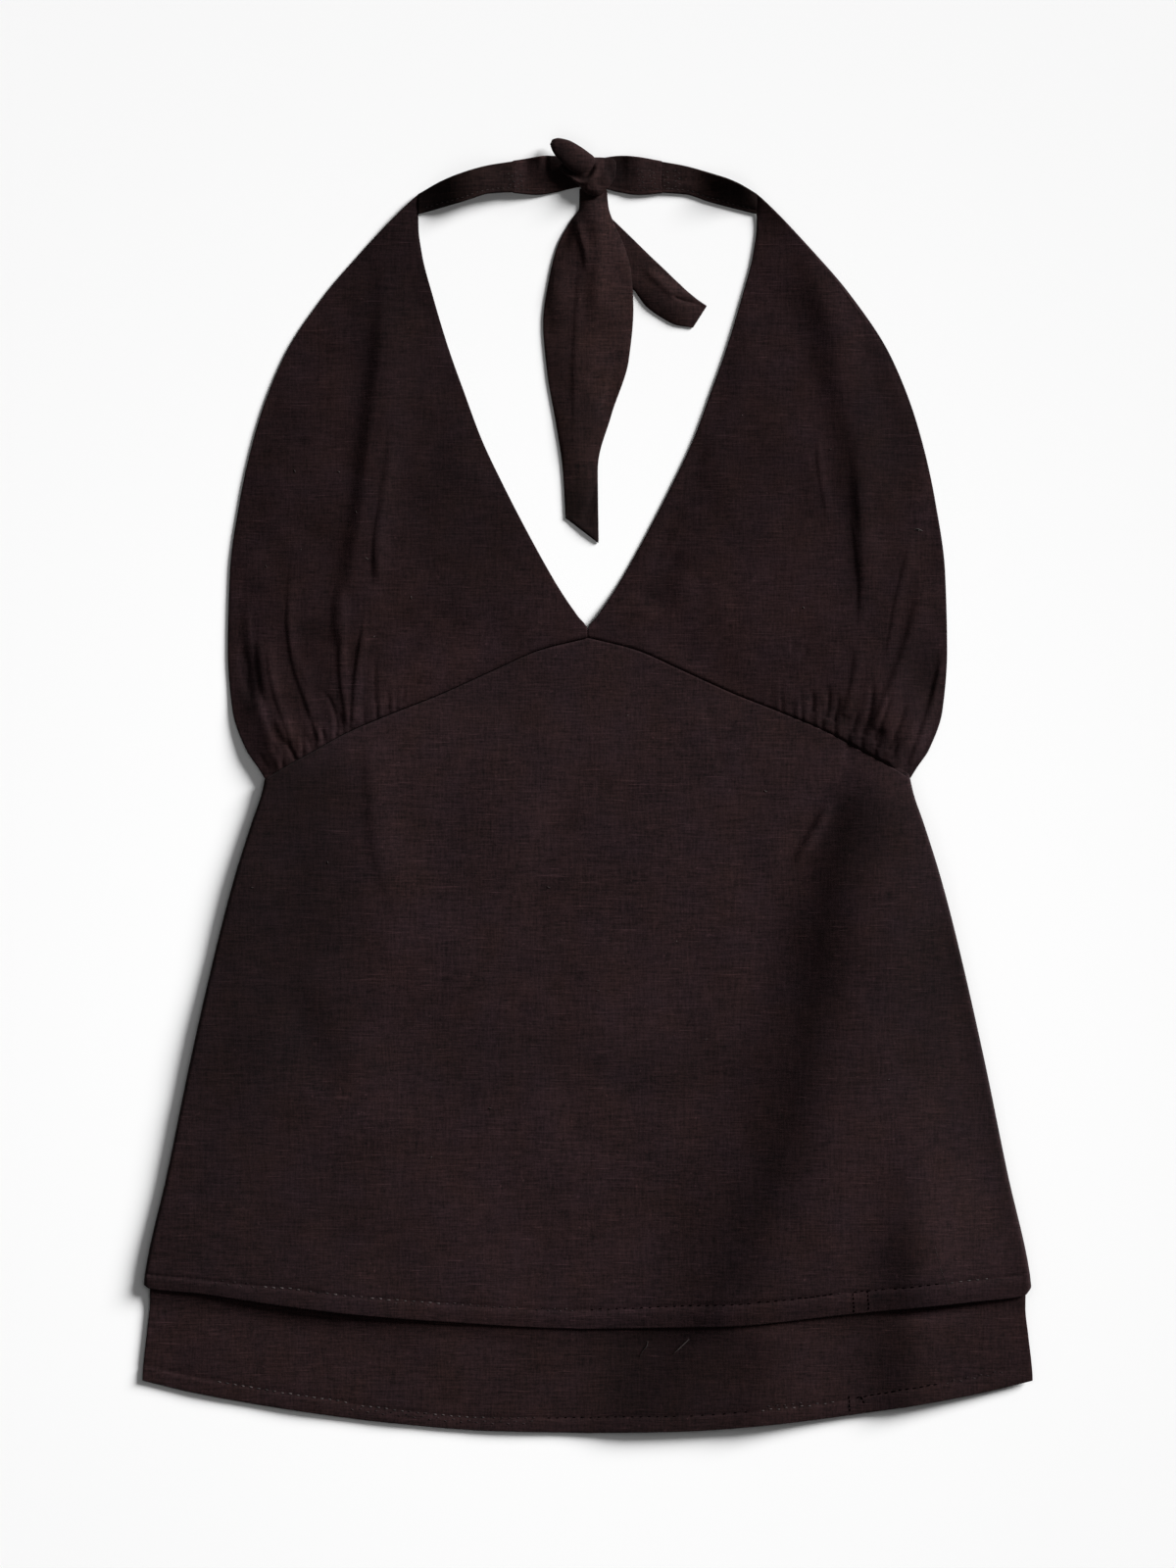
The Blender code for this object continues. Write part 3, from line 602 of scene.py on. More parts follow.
def shell_parts(P, wall, floor=0.03):
    """Vertices and faces of a closed thin shell about the grid of middle points P (rows, columns, 3).

    Its rim is round, so an edge looks folded over and not cut.
    """
    rows, cols = P.shape[:2]
    along_u = np.gradient(P, axis=1)
    along_v = np.gradient(P, axis=0)
    N = unit(np.cross(along_u, along_v))
    N = np.where(N[..., 2:3] < 0, -N, N)
    top = P + N * wall / 2
    low = P - N * wall / 2
    low[..., 2] = np.maximum(low[..., 2], floor)
    top[..., 2] = np.maximum(top[..., 2], low[..., 2] + wall * 0.5)
    # The rim, in order round the grid.
    ring = (
        [(0, j) for j in range(cols)]
        + [(i, cols - 1) for i in range(1, rows)]
        + [(rows - 1, j) for j in range(cols - 2, -1, -1)]
        + [(i, 0) for i in range(rows - 2, 0, -1)]
    )
    out = np.zeros((len(ring), 3))
    for k, (i, j) in enumerate(ring):
        o = np.zeros(3)
        if i == 0:
            o += unit(P[0, j] - P[1, j])
        if i == rows - 1:
            o += unit(P[-1, j] - P[-2, j])
        if j == 0:
            o += unit(P[i, 0] - P[i, 1])
        if j == cols - 1:
            o += unit(P[i, -1] - P[i, -2])
        out[k] = unit(o)
    n_top = rows * cols
    verts = [top.reshape(-1, 3), low.reshape(-1, 3)]
    arcs = []
    for a in (0.62, 0.0, -0.62):
        pts = []
        for k, (i, j) in enumerate(ring):
            mid = (top[i, j] + low[i, j]) / 2
            half = (top[i, j] - low[i, j]) / 2
            size = np.linalg.norm(half)
            pts.append(mid + half * math.sin(a * math.pi / 2 / 0.95) + out[k] * size * math.cos(a * math.pi / 2 / 0.95))
        pts = np.array(pts)
        pts[:, 2] = np.maximum(pts[:, 2], floor)
        verts.append(pts)
        arcs.append(2 * n_top + len(arcs) * len(ring))
    index = np.arange(n_top).reshape(rows, cols)
    a, b, c, d = index[:-1, :-1], index[:-1, 1:], index[1:, 1:], index[1:, :-1]
    quads = np.stack([a, b, c, d], -1).reshape(-1, 4)
    edge_u = P[0, 1] - P[0, 0]
    edge_v = P[1, 0] - P[0, 0]
    if np.cross(edge_u, edge_v)[2] < 0:
        quads = quads[:, ::-1]
        flip = True
    else:
        flip = False
    faces = quads.tolist() + (quads[:, ::-1] + n_top).tolist()
    loops = [[index[i, j] for i, j in ring]]
    for start in arcs:
        loops.append(list(range(start, start + len(ring))))
    loops.append([index[i, j] + n_top for i, j in ring])
    n = len(ring)
    for upper, lower in zip(loops, loops[1:]):
        for k in range(n):
            m = (k + 1) % n
            face = [upper[k], lower[k], lower[m], upper[m]]
            faces.append(face[::-1] if flip else face)
    return np.vstack(verts), faces


def shell(name, P, wall, material, floor=0.03):
    verts, faces = shell_parts(P, wall, floor)
    return build(name, verts, [[int(i) for i in f] for f in faces], material)


def steps(*spans):
    """Grid positions: (start, end, how many steps) for each span, joined."""
    out = []
    for low, high, count in spans:
        out += [mix(low, high, i / count) for i in range(count)]
    out.append(spans[-1][1])
    return np.array(out)


# ---------------------------------------------------------------- the outer front
# The broad fold: the line where its flank is steepest, how far left of it the flank begins and right of
# it the crest is reached, its height, the length over which the cloth comes down again on the right, and
# the share of the height that it comes down by.
BROAD_FOLD = [
    dict(y=28.0, line=160.0, width=16.0, over=16.0, height=0.0, fall=24.0, drop=0.3),
    dict(y=10.0, line=153.0, width=19.0, over=17.0, height=3.3, fall=28.0, drop=0.3),
    dict(y=-10.0, line=146.0, width=22.0, over=20.0, height=8.0, fall=32.0, drop=0.3),
    dict(y=-32.0, line=138.5, width=27.0, over=26.0, height=10.4, fall=38.0, drop=0.32),
    dict(y=-58.0, line=132.5, width=31.0, over=27.0, height=12.0, fall=44.0, drop=0.38),
    dict(y=-96.0, line=127.0, width=37.0, over=27.0, height=12.8, fall=56.0, drop=0.5),
    dict(y=-134.0, line=120.5, width=47.0, over=26.0, height=12.8, fall=74.0, drop=0.62),
    dict(y=-177.0, line=113.0, width=56.0, over=27.0, height=12.8, fall=92.0, drop=0.68),
    dict(y=-215.0, line=101.0, width=59.0, over=30.0, height=12.4, fall=104.0, drop=0.7),
    dict(y=-253.0, line=87.0, width=56.0, over=37.0, height=12.2, fall=110.0, drop=0.72),
    dict(y=-275.0, line=75.0, width=52.0, over=38.0, height=11.6, fall=118.0, drop=0.74),
    dict(y=-300.0, line=60.5, width=44.0, over=32.0, height=9.6, fall=126.0, drop=0.78),
    dict(y=-330.0, line=38.0, width=38.0, over=24.0, height=5.8, fall=126.0, drop=0.85),
    dict(y=-358.0, line=13.0, width=34.0, over=20.0, height=2.8, fall=110.0, drop=0.9),
]
# The bulk of the gathers in the right cup, along the seam.
SEAM_SWELL = [
    dict(line=[(832, 736), (866, 753), (900, 771), (932, 788)], width=7.0, height=0.5, start=0.4, end=0.3),
]
FRONT_CREASES = [
    # The second, lower fold by the right hem.
    dict(line=[(942, 1080), (942, 1150), (942, 1210), (940, 1270), (937, 1330), (932, 1400)], width=29.0, height=6.4, lean=0.3, start=0.6, end=0.42),
    dict(line=[(848, 815), (839, 832), (825, 856), (807, 882)], width=2.1, height=1.7, lean=0.45, start=0.3, end=0.3),
    dict(line=[(712, 690), (735, 775), (762, 830)], width=2.4, height=-0.25),
    dict(line=[(376, 748), (380, 810), (388, 880), (420, 960)], width=9.0, height=0.9, lean=0.6, start=0.15, end=0.5),
    dict(line=[(576, 800), (556, 880), (540, 975)], width=12.0, height=-0.8),
    dict(line=[(250, 1050), (330, 1062), (430, 1050), (600, 1070)], width=22.0, height=-1.4, start=0.3, end=0.5),
    dict(line=[(300, 1000), (318, 1070), (340, 1130)], width=12.0, height=-1.0),
    dict(line=[(868, 740), (866, 764), (861, 786)], width=3.0, height=-0.5),
]


def broad_fold(x, y):
    line, width, over, height, fall, drop = (
        read(BROAD_FOLD, "y", column, y)
        for column in ("line", "width", "over", "height", "fall", "drop")
    )
    d = x - line
    low = width / (width + over)
    up = low * np.clip(1 + d / width, 0, 1) ** 2
    round_over = low + (1 - low) * (1 - (1 - np.clip(d / over, 0, 1)) ** 2)
    down = 1 - drop * ease(np.clip((d - over) / fall, 0, 1)) ** 1.15
    return height * np.where(d < 0, up, np.where(d < over, round_over, down))


def front_height(x, y):
    to_hem = y - outer_hem_y(x)
    calm = (0.25 + 0.75 * ease(to_hem / 32)) * (0.3 + 0.7 * ease((seam_y(x) - y) / 22))
    z = front_rest(y) + LAYER + LOFT + broad_fold(x, y)
    z = z + creases(x, y, FRONT_CREASES)
    z = z + (ruffle(x, y, 3, 95, 0.35) + ruffle(x, y, 4, 28, 0.10)) * calm
    # The hem lies on the under layer but for one stretch that stands clear of it.
    clear = np.exp(-(((x + 146) / 56) ** 2))
    z = z + 1.6 * ease(1 - to_hem / 45) * clear
    return z - 0.72 * ease((7.5 - to_hem) / 7) * (1 - clear) ** 2


# The stitch line of the turned hem, above the hem.
HEM_ROW = [
    dict(x=-240.0, up=8.0),
    dict(x=-200.0, up=8.4),
    dict(x=-157.0, up=10.2),
    dict(x=-21.0, up=10.4),
    dict(x=60.0, up=12.0),
    dict(x=240.0, up=12.3),
]
UNDER_ROW = [
    dict(x=-240.0, up=8.6),
    dict(x=-140.0, up=8.4),
    dict(x=-124.0, up=7.4),
    dict(x=-70.0, up=6.7),
    dict(x=30.0, up=8.4),
    dict(x=135.0, up=8.2),
    dict(x=170.0, up=9.6),
    dict(x=240.0, up=9.2),
]


f = steps((-1.0, -0.994, 5), (-0.994, -0.98, 3), (-0.98, 0.98, 206), (0.98, 0.994, 3), (0.994, 1.0, 5))
v = steps((0.0, 0.014, 14), (0.014, 0.03, 4), (0.03, 0.93, 136), (0.93, 0.985, 22), (0.985, 1.0, 8))
F, V = np.meshgrid(f, v)
HALF_TOP, HALF_LOW = OUTER_SIDE[0]["half"], OUTER_SIDE[-1]["half"]
side_y = mix(OUTER_SIDE[0]["y"], OUTER_SIDE[-1]["y"], V)
half = read(OUTER_SIDE, "y", "half", side_y)
X = F * (half - 0.5)
TOP = seam_y(F * HALF_TOP) + 2.2
LOW = outer_hem_y(F * HALF_LOW) + 0.5
Y = mix(TOP, LOW, V)
Z = front_height(X, Y) + WALL / 2
# The side seam rolls down to the back.
to_side = half - 0.5 - np.abs(X)
roll = np.sqrt(np.maximum(1 - (np.clip(to_side, 0, 1.5) / 1.5 - 1) ** 2, 0))
Z = mix(LAYER + 0.6, Z, roll)
# The seam's allowance turns down sharply and runs under the cups.
above = Y - seam_y(X)
turn = np.where(X < 0, 1.9, 0.9)
Z = Z - np.where(X < 0, 1.9, 1.2) * ease((above + turn) / (turn - 0.05)) * ease(to_side / 5.0 + 0.4)
# The turned hem: a needle line, and a little body below it.
to_hem = Y - outer_hem_y(X)
row_up = read(HEM_ROW, "x", "up", X)
Z = Z - 0.42 * np.exp(-(((to_hem - row_up) / 1.1) ** 2)) + 0.22 * ease((row_up - to_hem) / 3) * ease(to_hem / 3)
Z = Z + 0.10 * np.sin(X * math.tau / 4.7) * np.exp(-(((to_hem - row_up + 2) / 4.0) ** 2))
shell("front_cloth", np.dstack([X, Y, Z]), WALL, OUTER)

# ---------------------------------------------------------------- the outer back, hidden and plain
f = steps((-1.0, 1.0, 90))
v = steps((0.0, 1.0, 60))
F, V = np.meshgrid(f, v)
side_y = mix(BACK_TOP, OUTER_SIDE[-1]["y"], V)
half = read(OUTER_SIDE, "y", "half", side_y) - 0.9
X = F * half
Y = mix(BACK_TOP - 0.5, outer_hem_y(F * HALF_LOW) + 2.8, V)
Z = np.full(X.shape, WALL / 2)
shell("back_cloth", np.dstack([X, Y, Z]), WALL - 0.1, OUTER)


# ---------------------------------------------------------------- the under layer
def under_half(y):
    upper = read(OUTER_SIDE, "y", "half", y) - UNDER_INSET
    return np.where(y > UNDER_SIDE[0]["y"], upper, read(UNDER_SIDE, "y", "half", y))


def under_y(F, V, top):
    start = outer_hem_y(F * UNDER_SIDE[0]["half"]) + 2.0
    end = start - 2.0 - HEM_DROP
    level = BACK_TOP - 10.0
    first = mix(top(F * (HALF_TOP - UNDER_INSET)), level, 2 * V)
    second = mix(level, start, 2 * V - 1)
    third = mix(start, end, V - 1)
    last = mix(end, under_hem_y(F * UNDER_SIDE[-1]["half"]), V - 2)
    return np.where(V <= 0.5, first, np.where(V <= 1, second, np.where(V <= 2, third, last)))


STRIP_CREASES = [
    dict(line=[(790, 1330), (787, 1370), (783, 1420), (778, 1480)], width=21.0, height=2.4, lean=0.1, start=0.15, end=0.1),
    dict(line=[(939, 1300), (936, 1350), (932, 1420), (928, 1480)], width=25.0, height=3.3, lean=0.3, start=0.05, end=0.1),
    dict(line=[(420, 1360), (400, 1400), (392, 1450)], width=12.0, height=-0.4),
]
f = steps((-1.0, -0.985, 3), (-0.985, 0.985, 206), (0.985, 1.0, 3))
v = steps((0.0, 0.5, 8), (0.5, 1.0, 14), (1.0, 2.0, 9), (2.0, 2.8, 22), (2.8, 2.95, 9), (2.95, 3.0, 4))
F, V = np.meshgrid(f, v)


def under_top(x):
    return seam_y(x) - 3.0


Y = under_y(F, V, under_top)
side = under_y(np.full(V.shape, -1.0), V, under_top)
X = F * (under_half(side) - 0.5)
Z = np.where(V <= 1, front_rest(Y), LAYER * (2 - ease(V - 1))) + WALL / 2
lowered = ease(V - 1)
follows = np.where(V <= 1, ease((-120 - Y) / 160) ** 2, 1.0)
Z = Z + broad_fold(X, Y) * follows * 0.96
Z = Z + np.maximum(creases(X, Y, STRIP_CREASES) + ruffle(X, Y, 8, 60, 0.22), -0.2) * lowered
to_hem = Y - under_hem_y(X)
row_up = read(UNDER_ROW, "x", "up", X)
Z = Z - 0.35 * np.exp(-(((to_hem - row_up) / 1.2) ** 2)) + 0.15 * ease((row_up - to_hem) / 2) * ease(to_hem / 2)
Z = Z + 0.08 * np.sin(X * math.tau / 3.6) * np.exp(-(((to_hem - row_up + 1) / 3.0) ** 2))
shell("under_front_cloth", np.dstack([X, Y, Z]), WALL - 0.1, UNDER)

f = steps((-1.0, 1.0, 90))
v = steps((0.5, 1.0, 20), (1.0, 2.0, 6), (2.0, 3.0, 18))
F, V = np.meshgrid(f, v)


def back_top(x):
    return np.full(np.shape(x), BACK_TOP)


Y = under_y(F, V, back_top) + np.where(V >= 3, 1.3, 0.0)
side = under_y(np.full(V.shape, -1.0), V, back_top)
X = F * (under_half(side) - 1.2)
Z = np.where(V <= 1, LAYER, LAYER * (1 - ease(V - 1))) + WALL / 2
shell("under_back_cloth", np.dstack([X, Y, Z]), WALL - 0.1, UNDER)

# ---------------------------------------------------------------- the cups
LEFT_CREASES = [
    # The long fold: a ridge whose left flank is steep, and the crisp line that ends it on the right.
    dict(line=[(392, 236), (394, 300), (390, 370), (382, 430), (376, 480), (371, 525), (363, 570), (356, 612), (350, 668)], width=12.0, height=2.8, lean=0.45, start=0.3, end=0.3),
    dict(line=[(399, 440), (396, 475), (390, 515), (384, 555), (383, 604)], width=2.6, height=0.9, lean=0.5, start=0.25, end=0.2),
    dict(line=[(394, 545), (388, 566), (386, 596)], width=3.4, height=0.7, lean=0.5),
    dict(line=[(346, 600), (345, 628), (346, 660)], width=5.0, height=0.9, lean=0.4, start=0.35, end=0.3),
    # Pleats that run down into the seam.
    dict(line=[(349, 640), (348, 684), (352, 716), (357, 744)], width=2.2, height=0.75, lean=0.5, start=0.3, end=0.05),
    dict(line=[(374, 632), (368, 662), (363, 700), (361, 738)], width=2.4, height=0.9, lean=0.5, start=0.25, end=0.05),
    dict(line=[(383, 668), (383, 690), (382, 718)], width=1.3, height=-0.4, lean=-0.3, start=0.4, end=0.05),
    dict(line=[(398, 704), (397, 714), (396, 726)], width=1.3, height=-0.45, start=0.5, end=0.05),
    dict(line=[(413, 700), (411, 709), (408, 720)], width=1.2, height=-0.35, start=0.5, end=0.05),
    dict(line=[(326, 702), (337, 714), (343, 730), (347, 748)], width=1.3, height=-0.55, lean=-0.3, start=0.35, end=0.05),
    dict(line=[(300, 560), (296, 600), (295, 640), (301, 680), (312, 712), (322, 740), (332, 765)], width=2.4, height=0.75, lean=0.5, start=0.45, end=0.05),
    dict(line=[(306, 672), (312, 690), (320, 708)], width=3.6, height=0.6, lean=0.4, start=0.35, end=0.4),
    dict(line=[(318, 726), (322, 736), (326, 744)], width=2.4, height=-0.5, start=0.35, end=0.4),
    dict(line=[(273, 640), (276, 684), (283, 714), (294, 744), (305, 774)], width=2.2, height=0.6, lean=0.5, start=0.35, end=0.05),
    dict(line=[(251, 600), (254, 640), (260, 700), (273, 745), (290, 783)], width=2.6, height=0.75, lean=-0.3, start=0.35, end=0.05),
    # The two deep hollows by the armhole.
    dict(line=[(247, 650), (251, 684), (258, 722)], width=4.0, height=-1.1, lean=0.3, start=0.35, end=0.3),
    dict(line=[(265, 645), (268, 684), (275, 720)], width=5.0, height=1.5, lean=0.4, start=0.35, end=0.3),
    dict(line=[(281, 728), (288, 745), (297, 762)], width=3.6, height=1.1, lean=0.4, start=0.35, end=0.3),
    dict(line=[(262, 764), (268, 775), (275, 788)], width=1.2, height=-0.4, start=0.4, end=0.05),
    dict(line=[(311, 746), (315, 757), (319, 768)], width=1.3, height=-0.4, start=0.4, end=0.05),
    dict(line=[(299, 756), (304, 765), (310, 774)], width=1.2, height=-0.4, start=0.4, end=0.05),
    dict(line=[(325, 738), (330, 750), (334, 762)], width=1.5, height=-0.8, start=0.4, end=0.05),
    dict(line=[(345, 722), (349, 736), (351, 750)], width=1.5, height=-0.7, start=0.4, end=0.05),
    dict(line=[(290, 752), (297, 766), (304, 778)], width=1.5, height=-0.8, start=0.4, end=0.05),
    dict(line=[(275, 752), (283, 768), (290, 784)], width=1.6, height=-0.8, start=0.4, end=0.05),
    dict(line=[(368, 712), (367, 726), (366, 742)], width=1.4, height=-0.5, start=0.5, end=0.05),
    dict(line=[(348, 586), (350, 620), (350, 660), (352, 690)], width=3.0, height=0.5, lean=-0.3, start=0.3, end=0.3),
    dict(line=[(270, 425), (300, 418), (330, 420), (352, 417)], width=1.6, height=0.3),
]
RIGHT_CREASES = [
    # The long fold: a ridge with a broad soft left flank above, and a crisp line below it.
    dict(line=[(815, 222), (846, 320), (861, 395), (875, 450), (881, 500), (884, 550)], width=13.0, height=2.9, lean=0.15, start=0.3, end=0.35),
    dict(line=[(872, 440), (876, 490), (879, 530), (882, 572), (884, 610), (881, 660)], width=6.0, height=1.5, lean=0.4, start=0.35, end=0.4),
    dict(line=[(869, 524), (874, 560), (878, 602), (876, 652)], width=2.0, height=0.45, lean=0.5, start=0.2, end=0.3),
    dict(line=[(875, 655), (872, 688), (867, 710), (861, 732)], width=2.6, height=0.7, lean=0.4, start=0.3, end=0.05),
    dict(line=[(833, 440), (836, 479), (841, 508), (845, 536)], width=2.2, height=0.4, lean=0.5),
    dict(line=[(932, 540), (924, 574), (915, 612), (908, 652), (901, 686)], width=2.2, height=0.5, lean=0.5, start=0.25, end=0.25),
    dict(line=[(944, 584), (934, 628), (921, 670), (905, 712), (892, 748)], width=4.2, height=1.2, lean=0.4, start=0.35, end=0.05),
    dict(line=[(967, 650), (960, 684), (951, 718), (940, 750), (928, 783)], width=3.4, height=1.7, lean=0.5, start=0.3, end=0.05),
    dict(line=[(912, 696), (902, 728), (890, 758)], width=1.8, height=-0.9, start=0.4, end=0.05),
    dict(line=[(926, 712), (916, 740), (905, 768)], width=1.7, height=-0.8, start=0.4, end=0.05),
    # The turned edge along the neckline, whose inner edge shows.
    dict(line=[(735, 425), (718, 464), (701, 508), (686, 543), (668, 584), (654, 612), (636, 636)], width=3.6, height=-0.7, lean=-0.7, start=0.25, end=0.15),
    dict(line=[(711, 482), (706, 502), (698, 520)], width=6.0, height=-0.6, lean=0.3),
    dict(line=[(692, 556), (682, 580), (668, 604), (654, 624)], width=6.0, height=-1.5, lean=0.3, start=0.3, end=0.25),
    dict(line=[(825, 700), (829, 712), (828, 728)], width=1.5, height=-0.7, start=0.5, end=0.05),
    dict(line=[(843, 694), (845, 714), (842, 734)], width=1.6, height=-0.9, start=0.5, end=0.05),
    dict(line=[(856, 706), (854, 722), (850, 738)], width=1.5, height=-0.8, start=0.5, end=0.05),
    dict(line=[(876, 722), (872, 736), (868, 750)], width=1.5, height=-0.8, start=0.5, end=0.05),
    dict(line=[(891, 690), (888, 722), (880, 752)], width=1.7, height=-0.9, start=0.4, end=0.05),
    dict(line=[(900, 736), (898, 750), (894, 764)], width=1.5, height=-0.8, start=0.5, end=0.05),
    dict(line=[(918, 750), (913, 763), (907, 776)], width=1.5, height=-0.8, start=0.5, end=0.05),
    dict(line=[(812, 652), (809, 660), (806, 668)], width=1.6, height=-0.3),
    dict(line=[(823, 658), (820, 667), (816, 676)], width=1.6, height=-0.3),
]


def cup(name, side, rows, seed, tip):
    u = steps((0.0, 0.02, 4), (0.02, 0.56, 128), (0.56, 0.98, 34), (0.98, 1.0, 4))
    v = steps((0.0, 0.012, 5), (0.012, 0.24, 84), (0.24, 0.985, 96), (0.985, 1.0, 3))
    U, W = np.meshgrid(u, v)
    xa, ya = read(CUP, "v", "xa", W), read(CUP, "v", "ya", W)
    xn, yn = read(CUP, "v", "xn", W), read(CUP, "v", "yn", W)
    X, Y = mix(xa, xn, U), mix(ya, yn, U)
    bow = seam_y(mix(CUP[0]["xa"], CUP[0]["xn"], U)) - mix(CUP[0]["ya"], CUP[0]["yn"], U)
    Y = Y + bow * (1 - ease(W / 0.3)) + 0.5 * (1 - ease(W / 0.1))
    X = -side * X
    start = front_rest(seam_y(X)) + LAYER + LOFT + 0.3
    start = start + broad_fold(X, seam_y(X)) * 0.95
    start = mix(LAYER + 1.6, start, ease(U / 0.07))
    base = start * (1 - ease(W / 0.2))
    to_seam = Y - seam_y(X)
    full = ease(W / 0.2) * (1 - ease((W - 0.3) / 0.65)) * np.sin(math.pi * np.clip(U, 0, 1)) ** 0.8
    inside = ease(np.minimum(U, 1 - U) / 0.05)
    Z = base + 3.0 * full
    # The tip is turned up on its outer side, where the strap pulls it.
    Z = Z + tip * ease((W - 0.9) / 0.1) ** 1.3 * (1 - U) ** 1.2
    gathered = ease(to_seam / 9.0)
    Z = Z + creases(X, Y, rows) * ease(np.minimum(U, 1 - U) / 0.03) * (0.45 + 0.55 * gathered)
    # Small gathers, all along the part of the seam that is drawn in.
    drawn = np.exp(-(((np.abs(X) - 138) / 36) ** 4))
    wave = np.sin(np.abs(X) * math.tau / 6.3 + 1.7 * np.sin(X / 9.0 + seed)) + 0.5 * np.sin(np.abs(X) * math.tau / 3.7 + seed)
    Z = Z + 0.30 * drawn * wave * np.exp(-((to_seam / 12.0) ** 2)) * ease(to_seam / 1.5)
    Z = Z + (ruffle(X, Y, seed, 60, 0.35) + ruffle(X, Y, seed + 1, 20, 0.10)) * inside * ease(to_seam / 14)
    Z = Z + creases(X, Y, SEAM_SWELL) * ease(to_seam / 2)
    # The edge dips into the seam.
    Z = Z - 0.55 * (1 - ease(to_seam / 1.6)) * ease(U / 0.02)
    Z = np.maximum(Z, 0.0) + WALL / 2
    if side == 1:
        X, Y, Z = X[:, ::-1], Y[:, ::-1], Z[:, ::-1]
    return shell(name, np.dstack([X, Y, Z]), WALL, CUPS)


cup("cup_left_cloth", -1, LEFT_CREASES, 21, 1.5)
cup("cup_right_cloth", 1, RIGHT_CREASES, 31, 2.5)


# ---------------------------------------------------------------- straps and ties
STRAP_TILT = {
    -1: [
        dict(x=-93.0, z_low=0.2, z_high=1.4),
        dict(x=-88.0, z_low=0.8, z_high=2.8),
        dict(x=-80.0, z_low=3.0, z_high=5.8),
        dict(x=-72.0, z_low=5.2, z_high=8.4),
        dict(x=-66.0, z_low=5.8, z_high=8.8),
        dict(x=-60.0, z_low=5.4, z_high=7.4),
        dict(x=-52.0, z_low=4.2, z_high=5.0),
        dict(x=-44.0, z_low=3.0, z_high=3.2),
        dict(x=-34.0, z_low=1.6, z_high=2.0),
        dict(x=-29.0, z_low=0.8, z_high=3.4),
        dict(x=-25.5, z_low=0.4, z_high=4.4),
        dict(x=-22.6, z_low=0.1, z_high=3.2),
        dict(x=-19.6, z_low=0.0, z_high=0.7),
        dict(x=-15.0, z_low=0.0, z_high=0.1),
        dict(x=-0.3, z_low=0.0, z_high=0.0),
    ],
    1: [
        dict(x=-93.0, z_low=0.0, z_high=2.4),
        dict(x=-89.0, z_low=0.0, z_high=5.0),
        dict(x=-84.0, z_low=0.0, z_high=6.6),
        dict(x=-78.0, z_low=0.0, z_high=6.6),
        dict(x=-72.0, z_low=0.0, z_high=4.4),
        dict(x=-66.0, z_low=0.0, z_high=2.6),
        dict(x=-60.0, z_low=0.0, z_high=1.3),
        dict(x=-53.0, z_low=0.1, z_high=0.8),
        dict(x=-42.0, z_low=0.3, z_high=0.8),
        dict(x=-34.0, z_low=0.6, z_high=1.8),
        dict(x=-28.0, z_low=0.6, z_high=3.0),
        dict(x=-23.0, z_low=0.4, z_high=2.4),
        dict(x=-19.0, z_low=0.1, z_high=0.8),
        dict(x=-14.0, z_low=0.0, z_high=0.1),
        dict(x=-0.3, z_low=0.0, z_high=0.0),
    ],
}


def band(name, rows, side, count, material, seed):
    f = steps((0.0, 1.0, count))
    v = steps((0.0, 0.06, 2), (0.06, 0.94, 22), (0.94, 1.0, 2))
    F, V = np.meshgrid(f, v)
    X = mix(rows[0]["x"], rows[-1]["x"], F)
    low, high = read(rows, "x", "low", X), read(rows, "x", "high", X)
    Y = mix(low + 0.6, high - 0.6, V)
    tilt = STRAP_TILT[side]
    Z = mix(read(tilt, "x", "z_low", X), read(tilt, "x", "z_high", X), V**1.35)
    Z = Z + TIE_WALL / 2 + 0.25 * np.sin(math.pi * V) + ruffle(X, Y, seed, 14, 0.12) * np.sin(math.pi * V)
    # A line of stitches runs along the lower edge.
    Z = Z - 0.22 * np.exp(-(((Y - low - 2.2) / 0.8) ** 2))
    X = -side * X
    if side == 1:
        X, Y, Z = X[:, ::-1], Y[:, ::-1], Z[:, ::-1]
    return shell(name, np.dstack([X, Y, Z]), TIE_WALL - 0.1, material)


band("strap_left_cloth", STRAP, -1, 90, STRAPS, 41)
band("strap_right_cloth", STRAP, 1, 90, STRAPS, 42)
band("tie_run_left_cloth", TIE_RUN, -1, 70, TIES, 43)
band("tie_run_right_cloth", TIE_RUN, 1, 70, TIES, 44)

LONG_CREASES = [
    dict(line=[(587, 220), (592, 242), (597, 260), (597, 284)], width=2.2, height=0.95, lean=0.5, start=0.25, end=0.4),
    dict(line=[(594, 262), (590, 300), (587, 350), (586, 400), (586, 470)], width=2.2, height=0.4, lean=0.5, start=0.2, end=0.4),
    dict(line=[(582, 222), (580, 240), (572, 262)], width=3.0, height=-0.9, start=0.3, end=0.4),
    dict(line=[(608, 214), (610, 250), (608, 300), (606, 340)], width=4.5, height=0.6, start=0.2, end=0.4),
    dict(line=[(574, 250), (568, 300), (570, 360)], width=5.0, height=0.5, start=0.3, end=0.4),
    dict(line=[(600, 300), (599, 360), (596, 430)], width=7.0, height=0.6, start=0.3, end=0.3),
    dict(line=[(638, 356), (616, 376), (596, 396)], width=4.0, height=-0.7, lean=-0.3),
    dict(line=[(630, 372), (620, 402), (610, 430)], width=3.0, height=-0.6, lean=0.3),
    dict(line=[(612, 490), (606, 512), (598, 536)], width=2.2, height=-1.0, lean=-0.3, start=0.3, end=0.2),
    dict(line=[(578, 526), (594, 538), (610, 549)], width=1.2, height=0.5),
]
